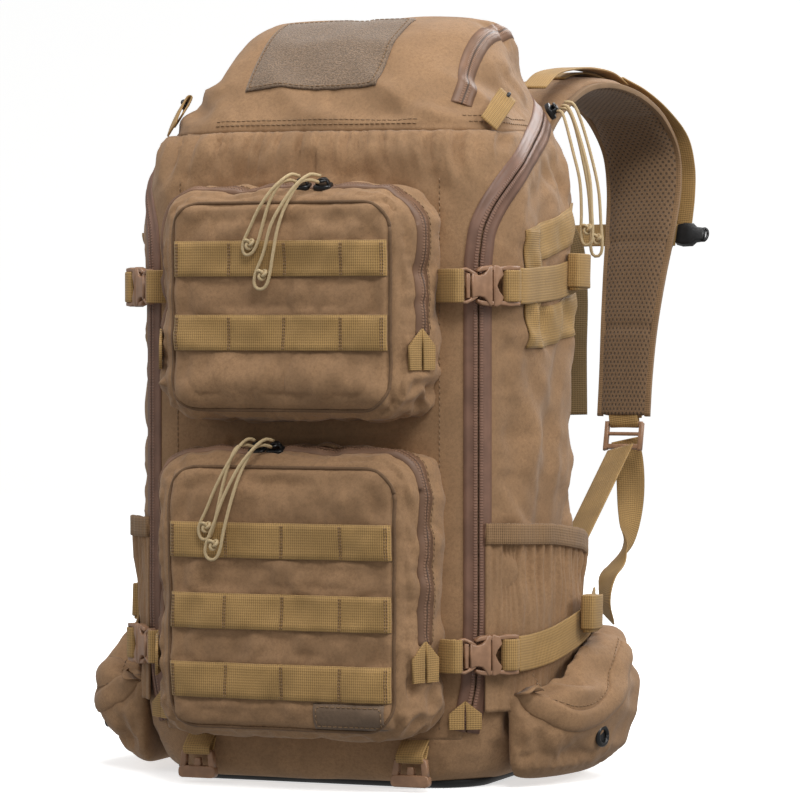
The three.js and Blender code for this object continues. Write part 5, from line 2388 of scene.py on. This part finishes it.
@dataclass
class HipWing:
    """A hip-belt wing folded round the foot of the bag, with its zip pocket's band and a drain grommet."""

    side: Side
    stuffing: Stuffing = Stuffing(pressure=1.6, spare=0.05, cap=5.0, frames=16)
    slump: float = 9
    band: tuple = ((158, -64, 72), (168, -57, 56), (180, -42, 48), (188, -20, 50), (193, 4, 62), (194, 26, 80),
                   (190, 50, 92))

    def held(self, place: Vector) -> float:
        """Held where it meets the bag and near the floor.

        Args:
            place: a point in metres.

        Returns:
            How firmly the point is held, from 0 to 1.
        """
        x, y, z = abs(place.x) / MM, place.y / MM, place.z / MM
        near_bag = x < 146 or y > 100
        return 1.0 if near_bag or z < 12 else 0.0

    def creases(self, place: Vector, normal: Vector) -> float:
        """Slack folds that run down and inwards.

        Args:
            place: a point in metres.
            normal: the outward direction there; not used.

        Returns:
            The height in millimetres.
        """
        x, y, z = place / MM
        free = fade(abs(x), 146, 160) * fade(z, 8, 24)
        lean = Vector((0, place.z * 0.9, 0))
        folds = 3.2 * ridged(place + lean, (60, 70, 34), 6.4) + 1.5 * ridged(place - lean, (60, 40, 60), 3.7)
        droop = self.slump * fade(abs(x), 160, 184) if self.side is Side.LEFT else 0.0
        return free * (folds + 1.6 * swells(place, 34, 2.2) - 2.6 + droop)

    def build(self, thread: Stitching) -> None:
        """Makes the wing, its band and its grommet.

        Args:
            thread: the stitching that its seams are added to.
        """
        node = f"wing_{self.side.word}"
        bm = self.stuffing.settle(remeshed(copied(node), 4.2, 4), self.held)
        made = as_piece(f"{node}_shell", pushed(divided(bm), self.creases), COYOTE)
        place_on(made, "pack", node)
        skin = Skin(made)
        self.add_band(skin, thread)
        self.add_grommet(skin)

    def add_band(self, skin: Skin, thread: Stitching) -> None:
        """The turned edge that hangs in a curve across the wing.

        Args:
            skin: the surface that it is sewn to.
            thread: the stitching that its seams are added to.
        """
        line = self.side.curve(self.band, 90)
        outs = [Vector((p.x * 1.0, p.y * 0.7, 0)).normalized() for p in line]
        profile = [(-8, -0.5), (-7, 1.8), (-4, 3.0), (0, 3.3), (4, 2.8), (7, 1.6), (8, -0.5)]
        strip = outwards(laid_strip(skin, line, outs, profile), outs[45])
        bmesh.ops.solidify(strip, geom=strip.faces[:], thickness=1.2 * MM)
        place_on(as_piece(f"wing_band_{self.side.word}", strip, COYOTE), "pack")
        thread.run("pack", [p + Vector((0, 0, 0.0105)) for p in line[::3]], skin, outs[::3])

    def add_grommet(self, skin: Skin) -> None:
        """The eyelet that drains the wing's pocket.

        Args:
            skin: the surface that it is sewn to.
        """
        out = Vector((0.97 * self.side.value, -0.24, 0)).normalized()
        hit = skin.below(self.side.of((188, -6, 34)), out)
        across = UP.cross(out).normalized()
        ring = [Vector((6.2 * math.cos(a), 6.2 * math.sin(a), 0.8)) * MM for a in full_turn(36)]
        rim = tube(ring, 1.9 * MM, 10)
        well = plate(round_outline(5 * MM, 24), 1.2 * MM, 0.3 * MM)
        form = turned(joined([rim, well]), hit, across, UP, out)
        place_on(as_piece(f"drain_grommet_{self.side.word}", form, BLACK_PLASTIC), "pack")


@dataclass
class BasePanel:
    """The coated base that the pack stands on."""

    rise: float = 6.0

    def build(self) -> None:
        """Makes the base with its turned-up edge."""
        low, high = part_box("base_panel")
        half = (high - low) / 2
        rings = []
        for z, grow, radius in ((0, -12, 34), (0, -7, 38), (1.2, -5, 40), (3.0, -3, 42), (self.rise, -2, 42)):
            outline = rounded(2 * half.x + 2 * grow * MM, 2 * half.y + 2 * grow * MM, radius * MM, 10)
            rings.append([Vector((u, v, z * MM)) for u, v in outline])
        around, last = len(rings[0]), len(rings) - 1
        bm = close_up(patch(around, last, lambda s, t: rings[round(t * last)][round(s * around) % around]))
        place_on(as_piece("base_cloth", bm, BASE_CLOTH), "pack", "base_panel")


# ---- back and harness ----------------------------------------------------


@dataclass
class BackPanel:
    """The pads and the yoke that lie against the wearer, and the frame inside the back wall."""

    stuffing: Stuffing = Stuffing(pressure=5.0, spare=0.02, cap=5.0, frames=16)

    def pad(self, node: str, name: str, channels: Callable[[float, float], float]) -> None:
        """A stuffed pad from its CAD solid, with sewn channels on its face.

        Args:
            node: the CAD node's name.
            name: the new piece's name.
            channels: how deep the channels are at (across, up), in millimetres.
        """
        low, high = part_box(node)

        def held(place: Vector) -> float:
            """Sewn down at its back and round its edge."""
            rim = min(place.x - low.x, high.x - place.x, place.z - low.z, high.z - place.z)
            return 1.0 if place.y < low.y + 0.003 or rim < 0.003 else 0.0

        def creases(place: Vector, normal: Vector) -> float:
            """The channels, and slight unevenness."""
            face = fade(normal.y, 0.3, 0.8)
            return face * (0.7 * swells(place, 40, 6.0) - channels(place.x / MM, place.z / MM))

        bm = self.stuffing.settle(remeshed(copied(node), 3.6, 4), held)
        bm = pushed(divided(bm), creases)
        layer = bm.loops.layers.uv.new(STRAP_UV)
        for face in bm.faces:
            for loop in face.loops:
                loop[layer].uv = (loop.vert.co.x, loop.vert.co.z + loop.vert.co.y)
        made = as_piece(name, bm, MESH_KNIT)
        place_on(made, "pack", node)

    def build(self, thread: Stitching) -> None:
        """Makes the pads and the yoke, and finishes the frame.

        Args:
            thread: the stitching that its seams are added to.
        """
        self.pad("back_pad", "back_cushion", lambda x, z: 2.2 * sum(
            math.exp(-((z - line) / 3.0) ** 2) for line in (190, 245, 300, 355)))
        self.pad("lumbar_pad", "lumbar_cushion", lambda x, z: 2.2 * math.exp(-((abs(x) - 52) / 3.0) ** 2))
        self.add_yoke(thread)
        self.add_haul_loop()
        for node, finish in (("frame_sheet", SHEET_PLASTIC), ("frame_stay", STAY_METAL)):
            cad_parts[node].data.materials.clear()
            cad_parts[node].data.materials.append(finish.material())

    def add_yoke(self, thread: Stitching) -> None:
        """The cloth panel that the shoulder straps are sewn under.

        Args:
            thread: the stitching that its seams are added to.
        """
        low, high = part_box("harness_yoke")
        middle, half = (low + high) / 2, (high - low) / 2
        form = plate(rounded(2 * half.x, 2 * half.z, 0.012, 6), 2 * half.y, 0.0015)
        bmesh.ops.subdivide_edges(form, edges=form.edges, cuts=1)
        form = turned(form, middle, -ACROSS, UP, TO_WEARER)
        made = as_piece("yoke_panel", form, COYOTE)
        place_on(made, "pack", "harness_yoke")
        skin = Skin(made)
        for inset in (4, 8):
            ring = [middle + Vector((u, half.y, v)) for u, v in
                    rounded(2 * half.x - 2 * inset * MM, 2 * half.z - 2 * inset * MM, 0.01, 5)]
            thread.run("pack", even([*ring, ring[0]], 160), skin, [TO_WEARER] * 160)

    def add_haul_loop(self) -> None:
        """The webbing handle at the top of the back, folded double where the hand goes."""
        arch = ((-40, 118, 492), (-38, 118, 512), (-24, 118, 528), (0, 118, 532), (24, 118, 528),
                (38, 118, 512), (40, 118, 492))
        line = [p * MM for p in smooth_line(arch, 70)]
        outer = ribbon(line, TO_WEARER, 20 * MM, 2.2 * MM)
        grip = [p + Vector((0, 0, 0.0018)) for p in line[18:53]]
        inner = ribbon(grip, TO_WEARER, 21 * MM, 3.0 * MM)
        place_on(as_piece("haul_handle", joined([outer, inner]), WEBBING), "haul_loop", "haul_loop")


@dataclass
class ShoulderStrap:
    """One padded shoulder strap with its webbing, ladder lock, adjuster and load lifter."""

    side: Side
    width: float = 60
    thick: float = 13
    route: tuple = (
        (80, 118, 474), (80, 148, 494), (82, 190, 510), (86, 230, 516), (90, 270, 515), (94, 310, 508),
        (98, 345, 494), (102, 369, 470), (105, 368, 440), (107, 352, 405), (108, 334, 370), (108, 320, 330),
        (108, 311, 290), (108, 305, 256),
    )
    lock: tuple = (109, 302, 240)
    folds: tuple = (0.5, 0.71, 0.86)
    loop: tuple = ((108, 306, 268), (108, 307, 258), (108.5, 307.5, 251), (109, 305, 247.5), (109, 302.5, 250),
                   (108, 303, 258), (108, 304, 268))
    adjuster: tuple = ((109, 293, 231), (110, 235, 198), (111, 165, 158), (113, 116, 132))
    adjuster_tail: tuple = ((109, 306, 237), (110, 315, 215), (110, 317, 188), (110, 309, 160), (109, 286, 142),
                            (109, 262, 128), (109, 254, 112), (109, 262, 97))
    anchor: tuple = ((108, 108, 118), (111, 111, 126), (113, 118, 134), (113, 121, 137), (114, 117, 135),
                     (111, 109, 128), (108, 107.5, 120))
    lifter: tuple = ((98, 112, 508), (99, 140, 520), (100, 180, 526), (100, 225, 529), (101, 270, 528),
                     (102, 305, 521))
    lifter_tail: tuple = ((102, 296, 525), (110, 325, 517), (121, 352, 502), (130, 376, 482), (133, 386, 458),
                          (133, 386, 434), (131, 384, 410))

    def line(self, count: int) -> list[Vector]:
        """The strap's centre line."""
        return self.side.curve(self.route, count)

    def girth(self, share: float) -> float:
        """How wide the strap is at a share of its length: it tapers towards the ladder lock."""
        return (0.92 + 0.1 * fade(share, 0.0, 0.12)) * (1 - 0.36 * fade(share, 0.5, 0.97))

    def build(self) -> None:
        """Makes the pad, its outer cover and all that is fastened to it."""
        line = self.line(170)
        half, deep = self.width / 2, self.thick / 2
        inner = [(-half, 0.3), (-half + 1.5, 3.2), (-half + 5.5, 4.6), (-half + 9, deep - 0.4),
                 (-12, deep + 0.3), (0, deep + 0.5), (12, deep + 0.3), (half - 9, deep - 0.4),
                 (half - 5.5, 4.6), (half - 1.5, 3.2), (half, 0.3)]
        closed = [*inner, (half - 4, -3.0), (0, -3.4), (-half + 4, -3.0)]
        pad = swept(line, [ACROSS] * len(line), in_metres(closed)[::-1], self.girth)
        marks = [line[round(share * (len(line) - 1))] for share in self.folds]

        def creases(place: Vector, normal: Vector) -> float:
            """Folds where the foam bends, and slight unevenness.

            Args:
                place: a point in metres.
                normal: the outward direction there; not used.

            Returns:
                The height in millimetres.
            """
            near = min((place - mark).length for mark in marks) / MM
            height = 0.55 * swells(place, 30, 1.1)
            bend = min(abs((place - mark).dot(UP) * 0.8 + (place - mark).y * 0.3) / MM for mark in marks)
            return height - (1.6 * math.exp(-(bend / 3.0) ** 2) if near < 36 else 0)

        made = as_piece(f"strap_pad_{self.side.word}", pushed(pad, creases), MESH_KNIT, levels=1)
        place_on(made, "harness", f"shoulder_strap_{self.side.word}")
        self.add_cover(line)
        self.add_binding(line)
        self.add_outer_webbing(line)
        self.add_lock()
        self.add_adjuster()
        self.add_lifter()
        self.add_tail()

    def add_cover(self, line: Sequence[Vector]) -> None:
        """The cloth over the strap's outer face.

        Args:
            line: the centre line in metres.
        """
        half = self.width / 2 * 0.985
        profile = [(-half, -0.6), (-half + 2, -4.2), (-half + 8, -6.2), (-10, -6.9), (0, -7.0), (10, -6.9),
                   (half - 8, -6.2), (half - 2, -4.2), (half, -0.6), (half - 5, -1.4), (0, -2.6),
                   (-half + 5, -1.4)]
        cover = swept(line, [ACROSS] * len(line), in_metres(profile), self.girth)
        pushed(cover, lambda co, n: 0.5 * swells(co, 22, 4.0) + 0.4 * ridged(co, (30, 30, 14), 2.0))
        place_on(as_piece(f"strap_cover_{self.side.word}", cover, COYOTE, levels=1), "harness")

    def add_binding(self, line: Sequence[Vector]) -> None:
        """The bound edges.

        Args:
            line: the centre line in metres.
        """
        parts = []
        for turn in (-1, 1):
            edge = []
            for i, p in enumerate(line):
                pull = self.girth(i / (len(line) - 1))
                edge.append(p + ACROSS * (turn * (self.width / 2 + 0.2) * pull * MM))
            parts.append(ribbon(edge, ACROSS, 4.6 * MM, 4.2 * MM))
        place_on(as_piece(f"strap_binding_{self.side.word}", joined(parts), BINDING), "harness")

    def add_outer_webbing(self, line: Sequence[Vector]) -> None:
        """The webbing sewn down the outer face, left slack between its bartacks.

        Args:
            line: the centre line in metres.
        """
        alongs = directions(line)
        route = []
        for i in range(30, len(line)):
            out = -alongs[i].cross(ACROSS)
            slack = 1.0 + 1.4 * abs(math.sin(math.pi * (i - 30) / 28)) ** 0.8
            route.append(line[i] + out * ((7.6 + slack) * MM))
        made = as_piece(f"strap_webbing_{self.side.word}", ribbon(route, ACROSS, 25 * MM, 1.7 * MM), WEBBING)
        place_on(made, "harness")

    def add_lock(self) -> None:
        """The ladder lock at the strap's end: a frame with two bars, and the loop that holds it."""
        middle = self.side.of(self.lock)
        down = Vector((0, -math.sin(0.28), -math.cos(0.28)))
        out = ACROSS.cross(down)
        parts = []
        for low, high, thick in ((-12, -9.4, 4.4), (-3.2, -0.6, 4.0), (6.8, 10.6, 5.2)):
            bar = [(-15 * MM, low * MM), (15 * MM, low * MM), (15 * MM, high * MM), (-15 * MM, high * MM)]
            parts.append(plate(bar, thick * MM, 0.9 * MM))
        for turn in (-1, 1):
            u = sorted((turn * 12.6, turn * 16.0))
            rail = [(u[0] * MM, -12 * MM), (u[1] * MM, -11 * MM), (u[1] * MM, 11 * MM), (u[0] * MM, 12 * MM)]
            parts.append(plate(rail, 5.6 * MM, 1.0 * MM))
        form = turned(joined(parts), middle, ACROSS, down, out)
        place_on(as_piece(f"ladder_lock_{self.side.word}_moulding", form, TAN_PLASTIC), "harness",
                 f"ladder_lock_{self.side.word}")
        strap = ribbon(self.side.curve(self.loop, 40), ACROSS, 24 * MM, 1.6 * MM)
        place_on(as_piece(f"lock_loop_{self.side.word}", strap, WEBBING), "harness")

    def add_adjuster(self) -> None:
        """The webbing from the ladder lock down to the foot of the back."""
        line = self.side.curve(self.adjuster, 70)
        side = Vector((0.94 * self.side.value, 0, 0.34))
        strap = ribbon(line, side, 24 * MM, 1.7 * MM)
        made = as_piece(f"adjuster_{self.side.word}", strap, WEBBING)
        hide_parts(f"adjuster_webbing_{self.side.word}")
        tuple(line[-1])
        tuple(line[0])
        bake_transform(made)
        anchor = ribbon(self.side.curve(self.anchor, 40), side, 25 * MM, 1.6 * MM)
        place_on(as_piece(f"adjuster_anchor_{self.side.word}", anchor, UNDER_WEBBING), "pack")

    def add_lifter(self) -> None:
        """The load lifter from the top of the bag to the strap's crown."""
        line = self.side.curve(self.lifter, 80)
        strap = ribbon(line, ACROSS, 20 * MM, 1.8 * MM)
        made = as_piece(f"lifter_{self.side.word}", strap, WEBBING)
        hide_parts(f"load_lifter_{self.side.word}")
        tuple(line[0])
        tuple(line[-1])
        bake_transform(made)
        end = ribbon(self.side.curve(self.lifter_tail, 60), ACROSS, 20 * MM, 1.6 * MM)
        place_on(as_piece(f"lifter_tail_{self.side.word}", end, WEBBING), "harness")

    def add_tail(self) -> None:
        """The adjuster's spare end: it hangs from the lock, twists once and curls at its foot."""
        line = self.side.curve(self.adjuster_tail, 90)
        turns = []
        for i in range(len(line)):
            a = 0.5 + 1.7 * fade(i / (len(line) - 1), 0.15, 0.75)
            turns.append(Vector((math.cos(a) * self.side.value, math.sin(a) * 0.9, 0.1)))
        strap = swept(line, turns, flat_outline(23 * MM, 1.5 * MM))
        place_on(as_piece(f"adjuster_tail_{self.side.word}", strap, WEBBING), "harness")


@dataclass
class SternumStrap:
    """The strap between the shoulder straps, with its buckle and keeper."""

    def build(self) -> None:
        """Makes the webbing, the buckle and the keeper."""
        corners = ((-118, 363.5, 402), (-60, 363.5, 402), (0, 364, 400), (60, 363.5, 402), (134, 363.5, 402))
        line = [p * MM for p in smooth_line(corners, 90)]
        width = Vector((0, 0.42, 0.9))
        strap = ribbon(line, width, 20 * MM, 1.8 * MM)
        place_on(as_piece("sternum_webbing", strap, WEBBING), "sternum", "sternum_strap")
        low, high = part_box("sternum_buckle")
        middle = (low + high) / 2
        corners = ((-11.5, -8), (-6, -9.6), (2, -9.2), (5, -6), (11.5, -5), (11.5, 5), (5, 6), (2, 9.2),
                   (-6, 9.6), (-11.5, 8))
        body = plate(in_metres(corners), 6.5 * MM, 1.1 * MM)
        ring = [Vector((11 + 3 * math.cos(a), 5.5 * math.sin(a), 0)) * MM for a in full_turn(18)]
        up = width.normalized()
        form = turned(joined([body, tube(ring, 1.2 * MM, 8)]), middle, ACROSS, up, ACROSS.cross(up))
        place_on(as_piece("sternum_buckle_moulding", form, BLACK_PLASTIC), "sternum", "sternum_buckle")
        for i, x in enumerate((-104, 126)):
            ring = [Vector((x, 363.5, 402)) + width * (11.5 * math.cos(a)) +
                    Vector((0, 0.9, -0.42)) * (2.6 * math.sin(a)) for a in full_turn(30)]
            keeper = ribbon([p * MM for p in ring], ACROSS, 12 * MM, 1.4 * MM)
            place_on(as_piece(f"sternum_keeper_{i + 1}", keeper, UNDER_WEBBING), "sternum")


# ---- trim ----------------------------------------------------------------


@dataclass
class LidTrim:
    """What is sewn to the lid: the loop patch, the side zip and the corner loops."""

    bag: BagShell

    def build(self, skin: Skin, thread: Stitching) -> None:
        """Makes the lid's trim.

        Args:
            skin: the surface that it is sewn to.
            thread: the stitching that its seams are added to.
        """
        self.add_patch(skin, thread)
        self.add_side_zip(skin)
        for side in Side:
            self.add_corner_loop(skin, side)

    def add_patch(self, skin: Skin, thread: Stitching) -> None:
        """The blank loop patch on the sloping front.

        Args:
            skin: the surface that it is sewn to.
            thread: the stitching that its seams are added to.
        """
        out = Vector((0, -0.72, 0.69)).normalized()
        line = [Vector((-11, y, z)) * MM for y, z in ((-63, 497), (22, 546))]
        line = even(line, 40)
        flat = [(-50 + 100 * k / 20, 1.9) for k in range(21)]
        profile = [(-51.5, 0.3), (-51, 1.6), *flat, (51, 1.6), (51.5, 0.3)]
        strip = outwards(laid_strip(skin, line, [out] * len(line), profile), out)
        made = as_piece("loop_patch", strip, PATCH_PILE, thick=1.2)
        place_on(made, "flap", "lid_patch")
        laid = Skin(made)
        half = ACROSS * 0.0485
        corners = [line[1] - half, line[1] + half, line[-2] + half, line[-2] - half]
        edge = even([*corners, corners[0]], 160)
        thread.run("flap", edge, laid, [out] * len(edge))

    def add_side_zip(self, skin: Skin) -> None:
        """The lid pocket's zip down its right shoulder.

        Args:
            skin: the surface that it is sewn to.
        """
        corners = ((107, -58, 492), (104, -38, 510), (100, -14, 529), (96, 14, 541), (94, 46, 547),
                   (90, 76, 548))
        line = [p * MM for p in smooth_line(corners, 90)]
        outs = [Vector((0.72, -0.35 + 0.3 * i / 90, 0.62)).normalized() for i in range(len(line))]
        profile = [(-7.5, 0.3), (-4, 0.9), (-2.6, 1.4), (-0.8, 1.5), (0, 0.9), (0.8, 1.5), (2.6, 1.4), (4, 0.9),
                   (7.5, 0.3)]
        strip = outwards(laid_strip(skin, line, outs, profile), outs[45])
        place_on(as_piece("lid_zip", strip, POCKET_ZIP, thick=0.8), "flap")

    def add_corner_loop(self, skin: Skin, side: Side) -> None:
        """A webbing loop with a black bead at the lid's corner.

        Args:
            skin: the surface that it is sewn to.
            side: the side of the pack.
        """
        place, out = self.bag.side_point(side, -42, 479)
        hit = skin.below(place, out)
        rise = (UP * 0.5 + Vector((0, 0.85, 0))).normalized()
        fold = ((-18, 1.2), (-6, 3.5), (10, 5.5), (19, 6), (21, 3.5), (12, 2), (-4, 1.2))
        route = [hit + rise * (u * MM) + out * (w * MM) for u, w in fold]
        strap = ribbon(smooth_line(route, 50), rise.cross(out), 15 * MM, 1.5 * MM)
        place_on(as_piece(f"corner_loop_{side.word}", strap, WEBBING), "flap")
        ring = [hit + rise * 0.019 + out * (0.005 + 0.0022 * math.sin(a)) + rise * (0.0022 * math.cos(a))
                for a in full_turn(16)]
        place_on(as_piece(f"corner_bead_{side.word}", tube(ring, 1.5 * MM, 8), BLACK_PLASTIC), "flap")


@dataclass
class FrontTrim:
    """Small sewn parts of the front panel: the label, the tabs by the zips and the panel seams."""

    bag: BagShell

    def build(self, skin: Skin, lower: Skin, thread: Stitching) -> None:
        """Makes the front's trim.

        Args:
            skin: the surface that it is sewn to.
            lower: the lower pocket's surface.
            thread: the stitching that its seams are added to.
        """
        self.add_label(lower, thread)
        for side in Side:
            self.add_foot_tab(skin, side)
            seam = [side.of((self.bag.panel_seam + 4, -99, z)) for z in range(44, 436, 6)]
            outs = [Vector((0.35 * side.value, -0.94, 0)).normalized()] * len(seam)
            thread.run("flap", seam, skin, outs)
        for shift in (4.0, 8.0):
            height = self.bag.lid_seam + shift
            places = [self.bag.side_point(Side.RIGHT, y, height) for y in range(-64, 20, 6)]
            thread.run("flap", [place for place, _ in places], skin, [out for _, out in places])
            front = [Vector((x, -84, height)) * MM for x in range(-78, 79, 6)]
            thread.run("flap", front, skin, [Vector((0, -0.9, 0.43))] * len(front))

    def add_label(self, skin: Skin, thread: Stitching) -> None:
        """The blank label at the foot of the lower pocket.

        Args:
            skin: the surface that it is sewn to.
            thread: the stitching that its seams are added to.
        """
        line = even([Vector((27, -150, 56)) * MM, Vector((80, -150, 56)) * MM], 30)
        profile = [(-9.2, 0.4), (-8.8, 1.3), (-4, 1.5), (0, 1.5), (4, 1.5), (8.8, 1.3), (9.2, 0.4)]
        strip = outwards(laid_strip(skin, line, [OUT_FRONT] * len(line), profile), OUT_FRONT)
        made = as_piece("blank_label", strip, LABEL, thick=0.9)
        place_on(made, "flap")
        ring = [Vector((x, -150, z)) * MM for x, z in ((29, 49), (78, 49), (78, 63), (29, 63), (29, 49))]
        thread.run("flap", even(ring, 90), Skin(made), [OUT_FRONT] * 90)

    def add_foot_tab(self, skin: Skin, side: Side) -> None:
        """The folded tab at the foot of the main zip.

        Args:
            skin: the surface that it is sewn to.
            side: the side of the pack.
        """
        out = Vector((0.55 * side.value, -0.83, 0)).normalized()
        hit = skin.below(side.of((118, -92, 58)), out) + out * 0.0018
        across = UP.cross(out).normalized()
        form = turned(folded_tab(12, 14), hit, across, UP, out)
        place_on(as_piece(f"foot_tab_{side.word}", form, WEBBING), "flap")


UPPER_POCKET = FrontPocket("upper", 264, 427, 100, 83, (376.0, 324.0), (-37.0, 5.0, 48.0), 322, belly=4.0)
LOWER_POCKET = FrontPocket("lower", 40, 241, 103, 86, (178.0, 128.0, 79.0), (-40.0, 3.0, 47.0), 104)


def add_sliders() -> None:
    """The zip sliders, each on its own body."""
    for pocket in ("upper", "lower"):
        for side in Side:
            node = f"{pocket}_slider_{side.word}"
            ZipSlider(node, node, ACROSS, Vector((0, -0.35, 0.94)).normalized()).build()
    for side in Side:
        node = f"main_slider_{side.word}"
        along = Vector((17 * side.value, -34, -21)).normalized()
        out = Vector((0.86 * side.value, 0.1, 0.5))
        out = (out - along * out.dot(along)).normalized()
        ZipSlider(node, node, along, out).build()


def write_sizes() -> None:
    """Gathers the CAD box and the visual model's box side by side; nothing is written."""
    plain = {name: [[float(c) for c in corner] for corner in box] for name, box in
             (("cad", CAD_BOX), ("visual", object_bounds()))}


def main() -> None:
    """Builds the pack, sub-assembly by sub-assembly."""
    logging.basicConfig(level=logging.INFO)
    Studio().build()
    PullCords().build()
    thread = Stitching()
    bag = BagShell()
    skin = bag.build()
    MainZips(bag).build(skin)
    UPPER_POCKET.build(thread)
    lower = LOWER_POCKET.build(thread)
    for side in Side:
        for level, height in STRAP_HEIGHTS.items():
            SideBuckle(level, height, side, bag).build()
        SideWebbing(side, bag).build(skin, thread)
        BottlePocket(side).build()
        HipWing(side).build(thread)
        BaseBuckle(side).build()
        ShoulderStrap(side).build()
    BasePanel().build()
    BackPanel().build(thread)
    SternumStrap().build()
    LidTrim(bag).build(skin, thread)
    FrontTrim(bag).build(skin, lower, thread)
    add_sliders()
    thread.build()
    write_sizes()


if __name__ == "__main__":
    main()
